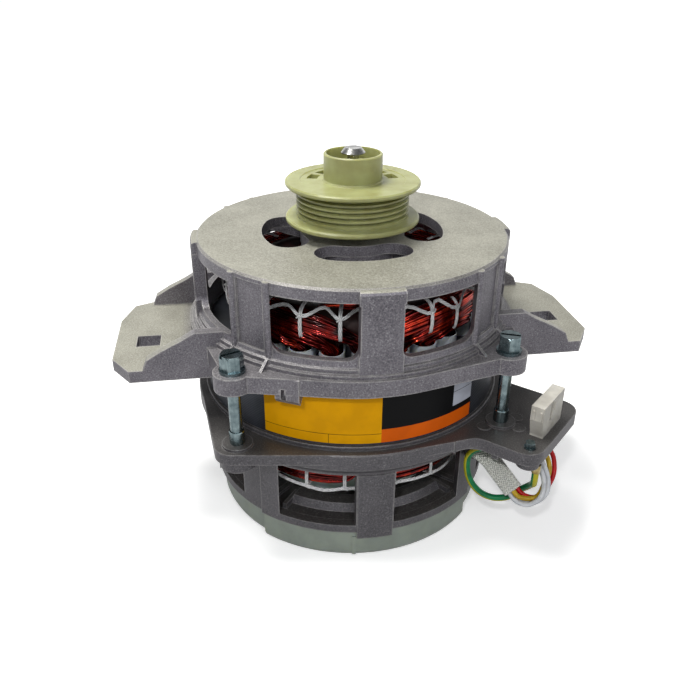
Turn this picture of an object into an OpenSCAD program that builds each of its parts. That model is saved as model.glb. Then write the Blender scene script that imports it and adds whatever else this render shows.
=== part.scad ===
/* [Upper bell] */
// Height of the flat top disc above the floor
disc_z = 134.7; // [120:0.1:150]
// Radius of the upper bell's wall and top disc
bell_r = 71; // [65:0.5:80]
// Thickness of the top disc
disc_t = 5; // [3:0.5:8]
// Thickness of the upper bell's wall
bell_t = 3; // [2:0.1:6]
// Radius of the clamping rim of the upper bell
rim_r = 75.5; // [72:0.5:82]
// Underside of the upper rim
rim_z0 = 89.4; // [85:0.1:93]
// Top of the upper rim, where the bolt heads sit
rim_z1 = 97; // [94:0.1:100]
// Window sill height in the upper bell
sill_z = 104; // [100:0.5:110]
// Underside of the lintel over the upper windows
lintel_z = 128.8; // [120:0.1:132]
// Sides of an upper window, measured across from the arm beside it
win_y = [8.5, 42.2];
// Radius of the lower corners of an upper window
win_c = 5; // [2:0.5:8]
// Half angle of a narrow arm
arm_a = 7.1; // [5:0.1:9]
// Face radius of the narrow arms
arm_r = 73.6; // [71:0.1:76]
// Angle from the middle of a wide column to the round rib at its edge
col_a = 7.5; // [6:0.1:9]
// Radius of those round ribs
col_r = 1.6; // [1:0.1:2.5]
// Depth of the panel sunk in a wide column
col_d = 0.7; // [0.2:0.1:1.5]
// Radius of the round bolt lobes of both rims
lobe_r = 8; // [7:0.1:10]
// Radius at which the upper rim's web meets a bolt lobe
web_r = 4.3; // [3:0.1:8]
// Inner and outer radius of the kidney slots in the disc
slot_r = [24, 41.5];
// Half angle between the end centres of a kidney slot
slot_a = 22.5; // [10:0.5:30]

/* [Ears] */
// Reach of an ear from the motor axis
ear_x = 110.5; // [100:0.5:120]
// Half width of an ear, front to back
ear_y = 36.5; // [30:0.5:45]
// Underside of the ears
ear_z0 = 82.2; // [78:0.1:86]
// Thickness of the ear plate
ear_t = 5.5; // [4:0.1:8]
// Thickness of the gussets
gusset_t = 4.6; // [3:0.1:7]
// Height of the gusset where it meets the wall
gusset_z1 = 104; // [98:0.5:108]
// Side of the square ear hole
ear_hole = 10.5; // [8:0.1:14]
// Centre of the square ear hole
ear_hole_at = [95.9, -8];

/* [Lower bell] */
// Radius of the lower bell's wall at the front and back
base_r = 70.3; // [68:0.1:74]
// How far the wall stands further in at the left and right
base_in = 1.5; // [0.5:0.1:3]
// Thickness of the wall at the front and back
base_t = 4.3; // [3:0.1:7]
// Radius of the lower bell's rim
low_rim_r = 75.3; // [72:0.1:82]
// Top of the lower rim and of the side bracket
low_rim_z1 = 61.2; // [58:0.1:64]
// Where the rim's outer face starts to fall in to the wall
low_rim_z0 = 53.4; // [50:0.1:56]
// Underside of the lower rim, head of the lower windows
low_win_z1 = 47.4; // [42:0.1:50]
// Sill of the lower windows, top of the bottom plate
floor_z1 = 19.4; // [17:0.1:24]
// Underside of the bottom plate
floor_z0 = 15.4; // [13:0.1:18]
// Thickness of the lower rim at its bolt lobes
flange_t = 5.2; // [4:0.1:8]
// Centre of a lower bolt lobe, from the motor axis
flange_c = [60.4, 58.4];
// Sides of a lower window, measured across from the front or back arm
low_win_y = [8.6, 41.8];
// Sides of a lower window, measured across from the left or right arm
low_side_y = [8.4, 38.5];
// Outer radius of the lip round the core
lip_r = 71.7; // [71:0.1:73]
// Height of the lip over the rim
lip_h = 1.9; // [1:0.1:3]
// Inner and outer radius of the baffle over the bottom plate
baffle_r = [52, 58.4];
// Height of the baffle
baffle_h = 3; // [1:0.1:6]

/* [Side bracket] */
// Radial reach of the bracket from the motor axis
br_a = 107.6; // [100:0.1:120]
// Edges of the bracket across its radial direction
br_t = [-17, 34.5];
// Thickness of the bracket
br_h = 6; // [4:0.1:9]
// Outer corner radius of the bracket
br_c = 8.5; // [4:0.5:12]
// Earth screw: distance in from the bracket's end, and across
earth_in = [6, -10.8];
// Radius of the boss under the earth screw
earth_boss = 5; // [4:0.1:6.5]

/* [Stator] */
// Outer radius of the stator core
core_r = 70; // [65:0.5:75]
// Bore radius of the stator core
bore_r = 36.6; // [30:0.1:42]
// Lower and upper face of the stator core
core_z = [56, 93.5];
// Number of stator slots
slots = 24; // [18:6:36]
// Turn of the first slot from the front
slot_turn = -3.3; // [-7:0.1:7]
// Radius of the round back of a slot
slot_rr = 4.9; // [3:0.1:6]
// Distance of that round back from the axis
slot_rc = 53; // [48:0.5:58]
// Height that the slot liners stand out of the core
cuff_h = 5.2; // [2:0.1:7]
// Wall of a slot liner
liner_t = 0.6; // [0.3:0.1:1]
// Outer radius of a crown of end turns
crown_r = 58.6; // [55:0.1:62]
// Inner radius of a crown of end turns
crown_ri = 41; // [39:0.1:46]
// Height of the upper crown of end turns
crown_h = 21; // [14:0.1:23]
// Height of the lower crown of end turns
low_crown_h = 18.7; // [12:0.1:20]
// Diameter of the turn that winds over the crown
turn_d = 3.4; // [2:0.1:4]
// Loops of that turn
turn_n = 23; // [12:1:24]
// Thickness of the lacing
lace_t = 1.1; // [0.6:0.1:2]

/* [Rotor] */
// Radial air gap between rotor and stator
air_gap = 0.45; // [0.35:0.05:1]
// Bars in the rotor cage
bars = 28; // [18:1:40]
// Shaft radius in the rotor core
shaft_r = 9; // [7:0.5:12]
// Shaft radius at the bearings
seat_r = 7.5; // [6:0.5:10]
// Shaft radius in the pulley
nose_r = 6; // [5:0.25:8]
// Top of the shaft tip
tip_z = 171.7; // [165:0.1:178]
// Outer radius of the bearings
brg_r = 17.5; // [15:0.5:21]
// Width of the bearings
brg_w = 11; // [9:0.5:13]
// Underside of the upper bearing
brg_z_up = 119; // [115:0.5:121]
// Underside of the lower bearing
brg_z_low = 8; // [7:0.5:10]
// Radius of the cooling fan
fan_r = 47; // [40:0.1:50]
// Underside and top of the cooling fan's rim
fan_z = [20.6, 29.4];

/* [Pulley] */
// Radius of the pulley flanges
pul_r = 30.3; // [25:0.1:40]
// Underside of the lower flange and top of the upper flange
pul_z = [139.6, 157.8];
// Thickness of the flanges
pul_t = 2.3; // [1.5:0.1:4]
// Radius over the belt ribs
rib_r = 25.4; // [20:0.1:30]
// Pitch of the belt ribs
rib_p = 2.34; // [1.6:0.02:4.8]
// Depth of the belt grooves
rib_d = 2; // [1:0.1:3]
// Number of grooves
rib_n = 5; // [3:1:8]
// Radius and top of the hollow hub
hub_r = 13.1; // [10:0.1:18]
// Top of the hollow hub
hub_z = 169.4; // [160:0.1:176]
// Wall of the hollow hub
hub_t = 1.2; // [0.8:0.1:2.5]

/* [Bolts, cap and connector] */
// Radius of the bolt circle
bolt_c = 82.6; // [78:0.1:88]
// Radius of a through bolt
bolt_r = 2.7; // [2:0.1:4]
// Width across flats of the bolt heads
bolt_af = 8.6; // [7:0.1:12]
// Height of a bolt head over its washer face
bolt_h = 7; // [4:0.1:9]
// How far the end cap stands in from the lower bell's wall at the front
cap_in = 1.5; // [0.5:0.1:3]
// How far it stands in from the wall at the left and right
cap_side_in = 2.4; // [1:0.1:4]
// Wall of the end cap
cap_t = 2.2; // [1.5:0.1:3]
// Distance from the bracket's end in to the middle of the connector
con_in = 7.3; // [5:0.1:12]
// Thickness of the connector housing
con_w = 5.9; // [4:0.1:9]
// Ends of the connector housing across the bracket
con_t = [-3.6, 19];
// How far the near end stands back where it passes the bracket
con_step = 2.2; // [0.5:0.1:3]
// Underside and top of the connector housing
con_z = [53, 77.2];
// Half angle of the blank label round the core
label_a = 40.2; // [20:0.1:44]
// Diameter of the leads
lead_d = 2.2; // [1.5:0.1:3]
// Diameter of the earth wire
earth_d = 3.1; // [1.5:0.1:3.5]
// Diameter of the braided sleeve
sleeve_d = 8.4; // [6:0.1:12]

/* [Hidden] */
$fn = 96;
alu = [0.55, 0.54, 0.54];
zinc = [0.66, 0.72, 0.74];
steel = [0.72, 0.73, 0.75];
nylon = [0.68, 0.71, 0.5];
copper = [0.5, 0.08, 0.04];
white = [0.88, 0.89, 0.9];
fit = 0.05;
gap = 0.35;
washer_t = 0.6;
core_fit = core_r + fit;
bell_ri = bell_r - bell_t;
base_ri = base_r - base_t;
base_side_r = base_r - base_in;
cap_r = base_r - cap_in;
cap_side_r = base_side_r - cap_side_in;
con_a = br_a - con_in;
earth_at = [br_a - earth_in[0], earth_in[1]];
step_r = (rim_r + bell_r) / 2;
win_in = 48;
win_out = rim_r + 1.5;
slot_p = 360 / slots;
slot_back = slot_rc + slot_rr;
slot_in = 39;
slot_w_in = 5.6;
cuff_z = [core_z[0] - cuff_h, core_z[1] + cuff_h];
turn_z0 = cuff_z[1] + 0.4;
turn_z1 = turn_z0 + crown_h;
turn_r = turn_d / 2;
crown_in = turn_r * 2 + 0.55;
low_grow = crown_in - 0.25;
boss_r = brg_r + 4;
rotor_r = bore_r - air_gap;
bar_r = 1.9;
bar_c = rotor_r - bar_r - 1.6;
ring_h = 7.5;
ball_r = 3;
ball_c = (brg_r + seat_r) / 2;
con_rim = br_h;
boss_z = low_rim_z1 + 1.2;
br_z0 = low_rim_z1 - br_h;
flange_z = low_rim_z1 - flange_t;
lip_z = low_rim_z1 + lip_h;
earth_z = br_z0 - 2.5;
low_shift = core_z[0] + core_z[1];
outlet_dir = 36;
outlet_z = 44;
outlet_at = [62, -0.5];
sleeve_bend = 36;
sleeve_rb = 16;
sleeve_s1 = 12;
sleeve_s2 = 15;
earth_lug = [br_a - 22.1, -10, br_z0 - 3.2];

// motor angles: 0 is the front, plus turns towards the right ear
module at(a) {
  rotate([0, 0, a - 90]) children();
}

module tube(ro, ri, z0, z1) {
  difference() {
    translate([0, 0, z0]) cylinder(r = ro, h = z1 - z0);
    translate([0, 0, z0 - 1]) cylinder(r = ri, h = z1 - z0 + 2);
  }
}

// a slice of a turned profile, half angle h each side of motor angle a
module slice(a, h) {
  at(a) rotate([0, 0, -h]) rotate_extrude(angle = 2 * h) children();
}

module box(x, y, z) {
  translate([x[0], y[0], z[0]]) cube([x[1] - x[0], y[1] - y[0], z[1] - z[0]]);
}

// round rim of radius r with four lobes of radius rl at c; webs of half width rw join them by tangents
module lobed(r, rl, rw, c, z0, z1) {
  t = atan2(c[1], c[0]);
  b = acos((r - rw) / norm(c));
  u = [cos(t - b), sin(t - b)];
  v = [cos(t + b), sin(t + b)];
  translate([0, 0, z0]) cylinder(r = r, h = z1 - z0);
  for (mx = [0, 1], my = [0, 1]) mirror([mx, 0, 0]) mirror([0, my, 0]) translate([0, 0, z0]) {
    translate(c) cylinder(r = rl, h = z1 - z0);
    linear_extrude(z1 - z0) polygon([[0, 0], r * u, c + rw * u, c, c + rw * v, r * v]);
  }
}

module at_bolts() {
  for (k = [0:3]) at(45 + 90 * k) translate([bolt_c, 0, 0]) children();
}

// window cutter beside the arm at angle a, cut straight outwards, with lower corners of radius c
module window(a, m, y, z0, z1, c) {
  at(a) mirror([0, m, 0]) {
    box([win_in, win_out], y, [z0 + c, z1]);
    box([win_in, win_out], [y[0] + c, y[1] - c], [z0, z1]);
    for (t = [y[0] + c, y[1] - c]) translate([win_in, t, z0 + c]) rotate([0, 90, 0])
      cylinder(r = c, h = win_out - win_in);
  }
}

module kidney(a, z0, z1) {
  m = (slot_r[0] + slot_r[1]) / 2;
  e = (slot_r[1] - slot_r[0]) / 2;
  slice(a, slot_a) translate([slot_r[0], z0]) square([2 * e, z1 - z0]);
  for (s = [-1, 1]) at(a + s * slot_a) translate([m, 0, z0]) cylinder(r = e, h = z1 - z0);
}

module ear() {
  z1 = ear_z0 + ear_t;
  difference() {
    union() {
      translate([0, 0, ear_z0]) linear_extrude(ear_t)
        polygon([[55, -ear_y], [ear_x - 8, -ear_y], [ear_x, -ear_y + 12.5], [ear_x, 15],
          [ear_x - 5.2, ear_y - 4.5], [ear_x - 14.5, ear_y], [55, ear_y]]);
      intersection() {
        translate([0, 0, ear_z0]) cylinder(r = rim_r + 1.2, h = rim_z1 - ear_z0 - 0.8);
        box([50, 90], [-ear_y, ear_y], [ear_z0, rim_z1]);
      }
      for (y = [-ear_y + gusset_t, ear_y]) translate([0, y, 0]) rotate([90, 0, 0])
        linear_extrude(gusset_t)
          polygon([[60, ear_z0], [ear_x - 14, ear_z0], [ear_x - 14, z1], [ear_x - 16, z1 + 4.7],
            [ear_x - 22.7, z1 + 8.7], [ear_x - 31.2, z1 + 12.9], [73.5, gusset_z1], [60, gusset_z1]]);
    }
    box([ear_hole_at[0] - ear_hole / 2, ear_hole_at[0] + ear_hole / 2],
      [ear_hole_at[1] - ear_hole / 2, ear_hole_at[1] + ear_hole / 2], [ear_z0 - 1, z1 + 1]);
  }
}

module upper_housing() color(alu) difference() {
  union() {
    rotate_extrude() polygon([[0, disc_z - disc_t], [bell_ri, disc_z - disc_t], [bell_ri, rim_z0],
      [rim_r, rim_z0], [rim_r, rim_z1 - 0.5], [rim_r - 0.5, rim_z1], [step_r + 0.9, rim_z1],
      [step_r + 0.9, rim_z1 + 1.7], [step_r - 0.6, rim_z1 + 2], [step_r - 0.6, rim_z1 + 3.8],
      [bell_r + 0.6, rim_z1 + 4.2], [bell_r, sill_z - 0.6], [bell_r, disc_z - 0.9],
      [bell_r - 0.9, disc_z], [0, disc_z]]);
    lobed(rim_r, lobe_r, web_r, bolt_c * [cos(45), sin(45)], rim_z0, rim_z1);
    for (k = [0:3]) slice(90 * k, arm_a) polygon([[bell_ri + 1, rim_z1], [arm_r, rim_z1],
      [arm_r, disc_z - 1.6], [arm_r - 0.5, disc_z - 0.7], [arm_r - 1.6, disc_z - 0.3],
      [bell_ri + 1, disc_z - 0.3]]);
    for (k = [0:3], s = [-1, 1]) at(45 + 90 * k + s * col_a) {
      translate([bell_r, 0, rim_z1]) cylinder(r = col_r, h = disc_z - rim_z1 - 0.6);
      translate([bell_r, 0.6, rim_z1 - 1]) rotate([90, 0, 0]) linear_extrude(1.2)
        polygon([[0, 0], [7, 0], [7, 1.2], [0, 6.5]]);
    }
    at(-29) translate([0, 5.4, 0]) rotate([90, 0, 0]) linear_extrude(10.8)
      polygon([[rim_r - 3.5, rim_z0], [rim_r + 0.4, rim_z0 - 4.8], [rim_r + 1.6, rim_z0 - 3],
        [rim_r + 1.6, rim_z1 - 0.6], [rim_r + 1, rim_z1], [rim_r - 3.5, rim_z1]]);
    translate([0, 0, brg_z_up - 4]) cylinder(r = boss_r, h = disc_z - brg_z_up + 4);
    tube(slot_r[0] - 0.4, boss_r - 1, disc_z - disc_t - 4, disc_z);
    for (k = [0:3]) at(45 + 90 * k)
      box([boss_r - 2, bell_ri + 1], [-2, 2], [disc_z - 10, disc_z - 1]);
    ear();
    mirror([1, 0, 0]) ear();
  }
  for (k = [0:3], m = [0, 1]) window(90 * k, m, win_y, sill_z, lintel_z, win_c);
  for (k = [0:3]) slice(45 + 90 * k, col_a - 1.9) translate([bell_r - col_d, rim_z1 + 6])
    square([3, disc_z - rim_z1 - 8.5]);
  for (k = [0:3]) kidney(90 * k, disc_z - 14, disc_z + 1);
  translate([0, 0, ear_z0 - 1]) cylinder(r = core_fit, h = core_z[1] - ear_z0 + 1);
  translate([0, 0, ear_z0 - 1]) cylinder(r = bell_ri, h = disc_z - disc_t - 5 - ear_z0);
  translate([0, 0, brg_z_up - 5]) cylinder(r = brg_r + fit, h = brg_w + 5);
  translate([0, 0, brg_z_up]) cylinder(r = seat_r + 1.2, h = 40);
  at_bolts() translate([0, 0, rim_z0 - 1]) cylinder(r = bolt_r + 0.3, h = 20);
  at(-30.2) box([rim_r, rim_r + 3], [-1.1, 1.1], [rim_z0 - 3.2, rim_z0 + 2.6]);
}

module bracket() {
  side = bolt_c + 1.4;
  at(45) {
    box([core_r - 3, br_a - br_c], br_t, [br_z0, low_rim_z1]);
    box([core_r - 3, br_a], [br_t[0] + br_c, br_t[1] - br_c], [br_z0, low_rim_z1]);
    for (t = [br_t[0] + br_c, br_t[1] - br_c]) translate([br_a - br_c, t, br_z0])
      cylinder(r = br_c, h = br_h);
    translate([earth_at[0], earth_at[1], earth_z]) cylinder(r = earth_boss, h = br_z0 - earth_z + 1);
    difference() {
      box([core_r - 2, side], [br_t[0] - 9, br_t[0] + 1], [br_z0, low_rim_z1]);
      translate([side, br_t[0] - 10, br_z0 - 1]) cylinder(r = 10, h = br_h + 2);
    }
    for (p = [[-4.1, -7.6], [8.8, 0.4], [4.1, 7.6]])
      translate([bolt_c + p[0], p[1], low_rim_z1 - 1]) cylinder(r = 3.2, h = 1.35);
    box([earth_lug[0], earth_lug[0] + 3], [earth_lug[1] - 2.5, earth_lug[1] + 2.5],
      [earth_lug[2] - 1.9, br_z0 + 1]);
  }
}

module lower_housing() color(alu) {
  difference() {
    union() {
      rotate_extrude() polygon([[0, floor_z0], [base_side_r, floor_z0], [base_side_r, low_win_z1 + 1],
        [low_rim_r, low_rim_z0], [low_rim_r, low_rim_z1 - 0.5], [low_rim_r - 0.5, low_rim_z1],
        [lip_r, low_rim_z1], [lip_r, lip_z - 0.3], [lip_r - 0.3, lip_z], [base_ri, lip_z],
        [base_ri, floor_z1 - 0.5], [0, floor_z1 - 0.5]]);
      for (k = [0, 180]) slice(k, 45) polygon([[base_side_r - 1, floor_z0], [base_r, floor_z0],
        [base_r, low_win_z1 + 1], [low_rim_r - 0.6, low_rim_z0], [base_side_r - 1, low_rim_z0]]);
      difference() {
        lobed(low_rim_r - 0.7, lobe_r, lobe_r, flange_c, flange_z, low_rim_z1);
        translate([0, 0, flange_z - 1]) cylinder(r = base_ri + 2, h = flange_t + 2);
      }
      at_bolts() {
        translate([0, 0, flange_z - 4.5]) cylinder(r = lobe_r - 0.1, h = 5.5);
        translate([0, 0, flange_z]) cylinder(r = lobe_r - 1.4, h = boss_z - flange_z);
      }
      for (k = [0, 180]) slice(k, arm_a - 0.5) translate([cap_r + 0.1, floor_z0 - 3.3])
        square([base_r - cap_r + 0.3, low_win_z1 - floor_z0 + 3]);
      for (k = [90, 270]) slice(k, arm_a - 0.5) translate([cap_side_r + 0.1, floor_z0 - 3.3])
        square([base_side_r - cap_side_r + 0.3, low_win_z1 - floor_z0 + 3]);
      bracket();
      translate([0, 0, brg_z_low - 2.5]) cylinder(r = boss_r, h = floor_z1 - brg_z_low + 2.5);
      for (k = [0:3]) at(45 + 90 * k)
        box([boss_r - 2, base_ri + 1], [-1.5, 1.5], [floor_z0 + 1, floor_z1 + 0.8]);
    }
    for (k = [0, 180], m = [0, 1])
      at(k) mirror([0, m, 0]) box([win_in + 2.5, win_out], low_win_y, [floor_z1, low_win_z1]);
    for (k = [90, 270], m = [0, 1])
      at(k) mirror([0, m, 0]) box([win_in + 2.5, win_out], low_side_y, [floor_z1, low_win_z1]);
    for (k = [0:3]) kidney(90 * k, floor_z0 - 1, floor_z1 + 1);
    translate([0, 0, core_z[0]]) cylinder(r = core_fit, h = 20);
    translate([0, 0, brg_z_low - washer_t]) cylinder(r = brg_r + fit, h = 40);
    translate([0, 0, 0]) cylinder(r = seat_r + 1.2, h = 20);
    at_bolts() translate([0, 0, low_rim_z1 - 20]) cylinder(r = bolt_r + 0.05, h = 30);
    at(45) {
      box([con_a - con_w / 2 - fit, con_a + con_w / 2 + fit],
        [con_t[0] + con_step - fit, con_t[1] + fit], [40, 70]);
      translate([earth_at[0], earth_at[1], 40]) cylinder(r = 1.55, h = 30);
    }
    outlet() translate([-6, 0, 0]) rotate([0, 90, 0]) cylinder(r = sleeve_d / 2 + 1.05, h = 24);
  }
  for (k = [0, 180]) {
    slice(k, 36) polygon([[baffle_r[0], floor_z1 - 0.5], [baffle_r[1] + 2.1, floor_z1 - 0.5],
      [baffle_r[1], floor_z1 + baffle_h], [baffle_r[0], floor_z1 + baffle_h]]);
    for (s = [-1, 1]) at(k + s * 36.8)
      box([baffle_r[0] + 2, base_ri - 0.6], [-1, 1], [floor_z1 - 0.5, floor_z1 + baffle_h - 0.8]);
  }
}

// frame of the lead outlet: x along the sleeve as it leaves the bell
module outlet() {
  at(45) translate([outlet_at[0], outlet_at[1], outlet_z]) rotate([0, 0, outlet_dir - 45]) children();
}

// plan of one slot, grown by g
module slot_plan(g) {
  translate([slot_rc, 0]) circle(r = slot_rr + g, $fn = 48);
  polygon([[slot_in - g, -slot_w_in / 2 - g], [slot_rc, -slot_rr - g], [slot_rc, slot_rr + g],
    [slot_in - g, slot_w_in / 2 + g]]);
}

module at_slots() {
  for (k = [0:slots - 1]) at(slot_turn + slot_p * k) children();
}

module stator_core() color([0.2, 0.21, 0.24]) translate([0, 0, core_z[0]])
  linear_extrude(core_z[1] - core_z[0]) difference() {
    circle(r = core_r, $fn = 180);
    circle(r = bore_r);
    at_slots() slot_plan(liner_t + fit);
    at_slots() translate([30, -1.2]) square([10, 2.4]);
  }

module slot_liners() color(white) translate([0, 0, cuff_z[0]])
  linear_extrude(cuff_z[1] - cuff_z[0]) at_slots() difference() {
    slot_plan(liner_t);
    slot_plan(0);
    translate([slot_in - 3, -slot_w_in / 2 + 0.4]) square([6, slot_w_in - 0.8]);
  }

module slot_conductors() color(copper) {
  translate([0, 0, cuff_z[0]]) linear_extrude(cuff_z[1] - cuff_z[0]) at_slots() difference() {
    slot_plan(-fit);
    translate([slot_in - 3, -5]) square([4.5, 10]);
  }
  z0 = crown_low(turn_z0 + crown_in) + low_grow;
  at_slots() translate([50.5, 0, z0]) cylinder(r = 2.7, h = turn_z0 + crown_in - z0, $fn = 24);
}

// the lower crown mirrors the upper one in the middle of the core
function crown_low(z) = low_shift - z;

module crown_plan(g, z0, z1) {
  x0 = crown_ri + crown_in - g;
  x1 = crown_r - crown_in + g;
  c = 2.42 + 0.55 * g;
  polygon([[x0 + c, z0 - g], [x1 - c, z0 - g], [x1 - c, z0 - g + c], [x1, z0 - g + c],
    [x1, z1 + g - c], [x1 - c, z1 + g - c], [x1 - c, z1 + g], [x0 + c, z1 + g],
    [x0 + c, z1 + g - c], [x0, z1 + g - c], [x0, z0 - g + c], [x0 + c, z0 - g + c]]);
  for (x = [crown_ri + crown_in + 2.2, crown_r - crown_in - 2.2], z = [z0 + 2.2, z1 - 2.2])
    translate([x, z]) circle(r = 2.2 + g, $fn = 32);
}

module crown_upper() color(copper) rotate_extrude()
  crown_plan(0, turn_z0 + crown_in, turn_z1 - crown_in);

module crown_lower() color(copper) rotate_extrude()
  crown_plan(low_grow, crown_low(turn_z0 + low_crown_h - crown_in), crown_low(turn_z0 + crown_in));

// one unbroken turn round the crown: a rounded box path that moves on by one slot per loop
turn_rc = (crown_r + crown_ri) / 2;
turn_zc = (turn_z0 + turn_z1) / 2;
turn_w = (crown_r - crown_ri - turn_d) / 2;
turn_h = (crown_h - turn_d) / 2;
turn_q = 24;
turn_a0 = slot_turn + slot_p / 2;
function sq(v) = sign(v) * pow(abs(v), 0.62);
function loop_turn(u) = let (f = u - floor(u), d = u < 1 ? 0.2 : 0, e = u > turn_n - 1 ? 0.6 : 0.75)
  floor(u) + min(1, max(0, (f - d) / (e - d)));
function on_turn(s) = let (u = s + 0.125, a = turn_a0 + slot_p * loop_turn(u), t = 360 * s,
  r = turn_rc + turn_w * sq(cos(t)), z = turn_zc + turn_h * sq(sin(t)))
  [r * sin(a), -r * cos(a), z];
function down_end(r, a, z) = [r * sin(a), -r * cos(a), z];
turn_s1 = turn_n - 0.5;
turn_a1 = turn_a0 + slot_p * turn_n;
turn_path = concat(
  [for (k = [0:3]) down_end(turn_rc + turn_w, turn_a0, core_z[1] + k * (turn_zc - 5 - core_z[1]) / 3)],
  [for (i = [0:turn_q * turn_s1]) on_turn(i / turn_q)],
  [for (k = [0:3]) down_end(turn_rc - turn_w, turn_a1, turn_zc - 5 - k * (turn_zc - 5 - core_z[1]) / 3)]);

function unit(v) = v / max(1e-9, norm(v));
function along(p, i) = unit(p[min(i + 1, len(p) - 1)] - p[max(i - 1, 0)]);

// tube round a path; up(i) must never lie along the path
module sweep(p, ups, d, n) {
  q = len(p);
  pts = [for (i = [0:q - 1]) let (t = along(p, i), b = unit(cross(t, ups[i])), c = cross(b, t))
    for (k = [0:n - 1]) p[i] + d / 2 * (n < 8 ? 1 : 1.04) * (b * cos(360 * k / n) + c * sin(360 * k / n))];
  faces = concat([[for (k = [0:n - 1]) k]], [[for (k = [n - 1:-1:0]) (q - 1) * n + k]],
    [for (i = [0:q - 2], k = [0:n - 1]) [i * n + k, (i + 1) * n + k, (i + 1) * n + (k + 1) % n]],
    [for (i = [0:q - 2], k = [0:n - 1]) [i * n + k, (i + 1) * n + (k + 1) % n, i * n + (k + 1) % n]]);
  polyhedron(points = pts, faces = faces, convexity = 12);
}

module crown_upper_turns() color([0.7, 0.16, 0.08])
  sweep(turn_path, [for (p = turn_path) [-p[1], p[0], 0]], turn_d, 6);

turn_gap = min([for (i = [0:len(turn_path) - 1], j = [i + 12:3:min(len(turn_path) - 1, i + 40)])
  norm(turn_path[i] - turn_path[j])]) - turn_d * 1.12;
echo(turn_gap = turn_gap);

module lace_arch(z0, z1) {
  e = lace_t + 0.1;
  x0 = crown_ri - 0.1;
  x1 = crown_r + 0.1;
  rotate([90, 0, 0]) translate([0, 0, -0.9]) linear_extrude(1.8)
    polygon([[x0, z0], [x0, z1], [x1, z1], [x1, z0], [x1 + lace_t, z0], [x1 + lace_t, z1],
      [x1, z1 + e], [x0, z1 + e], [x0 - lace_t, z1], [x0 - lace_t, z0]]);
}

module lacing_ring(z) {
  rotate_extrude() translate([crown_r - 2.2, z]) circle(r = 0.9, $fn = 24);
}

module lacing_upper() color(white) {
  at_slots() lace_arch(turn_z0 + 4, turn_z1);
  lacing_ring(turn_z1 + 1);
}

module lacing_lower() color(white) translate([0, 0, low_shift]) mirror([0, 0, 1]) {
  at_slots() lace_arch(turn_z0 + 4, turn_z0 + low_crown_h);
  lacing_ring(turn_z0 + low_crown_h + 0.6);
}

module blank_label() color([0.9, 0.7, 0.05])
  slice(-0.7, label_a) translate([core_r + 0.06, lip_z + 0.9]) square([0.3, rim_z0 - lip_z - 1.9]);

module rotor_core() color([0.25, 0.26, 0.29]) translate([0, 0, core_z[0]])
  linear_extrude(core_z[1] - core_z[0]) difference() {
    circle(r = rotor_r);
    circle(r = shaft_r);
    for (k = [0:bars - 1]) rotate(360 / bars * k) translate([bar_c, 0]) circle(r = bar_r, $fn = 24);
  }

module rotor_cage() color([0.7, 0.71, 0.73]) {
  for (k = [0:bars - 1]) rotate([0, 0, 360 / bars * k]) translate([bar_c, 0, core_z[0] - 1])
    cylinder(r = bar_r, h = core_z[1] - core_z[0] + 2, $fn = 24);
  for (m = [0, 1]) translate([0, 0, m * low_shift]) mirror([0, 0, m]) {
    tube(rotor_r - 0.4, bar_c - 8, core_z[1], core_z[1] + ring_h);
    for (k = [0:9]) rotate([0, 0, 36 * k])
      box([bar_c - 7, rotor_r - 2], [-1, 1], [core_z[1] + 2, core_z[1] + ring_h + 8]);
  }
}

module shaft() color(steel) rotate_extrude() polygon([[0, 4.5], [seat_r - 1, 4.5], [seat_r, 5.5],
  [seat_r, brg_z_low + brg_w], [shaft_r, brg_z_low + brg_w], [shaft_r, brg_z_up], [seat_r, brg_z_up],
  [seat_r, disc_z + 0.5], [nose_r, disc_z + 1.5], [nose_r, tip_z - 6.2], [2.6, tip_z - 6.2],
  [2.6, tip_z - 3.3], [4.2, tip_z - 2.9], [5.4, tip_z - 2.5], [5.4, tip_z - 2.1], [3.65, tip_z], [0, tip_z]]);

module bearing_outer(z) color(steel) translate([0, 0, z]) {
  rotate_extrude() difference() {
    translate([brg_r - 3.1, 0]) square([3.1, brg_w]);
    translate([ball_c, brg_w / 2]) circle(r = ball_r + 0.05, $fn = 48);
  }
  for (y = [0, brg_w - 0.5]) tube(brg_r - 3, seat_r + 3.3, y, y + 0.5);
}

module bearing_inner(z) color(steel) translate([0, 0, z]) rotate_extrude() difference() {
  translate([seat_r, 0]) square([2.8, brg_w]);
  translate([ball_c, brg_w / 2]) circle(r = ball_r + gap, $fn = 48);
}

module bearing_balls(z) color([0.8, 0.81, 0.83]) translate([0, 0, z + brg_w / 2]) {
  for (k = [0:7]) rotate([0, 0, 45 * k]) translate([ball_c, 0, 0]) sphere(r = ball_r, $fn = 32);
  tube(ball_c + 0.8, ball_c - 0.7, -1.2, 1.2);
}

module bearing_upper_outer() { bearing_outer(brg_z_up); }
module bearing_upper_inner() { bearing_inner(brg_z_up); }
module bearing_upper_balls() { bearing_balls(brg_z_up); }
module bearing_lower_outer() { bearing_outer(brg_z_low); }
module bearing_lower_inner() { bearing_inner(brg_z_low); }
module bearing_lower_balls() { bearing_balls(brg_z_low); }

module wave_washer() color(steel) difference() {
  tube(brg_r - 0.3, brg_r - 2.6, brg_z_low - washer_t, brg_z_low);
  for (k = [0:3]) rotate([0, 0, 90 * k]) box([8, 24], [-4, 4], [brg_z_low - 1, brg_z_low - 0.3]);
}

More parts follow.
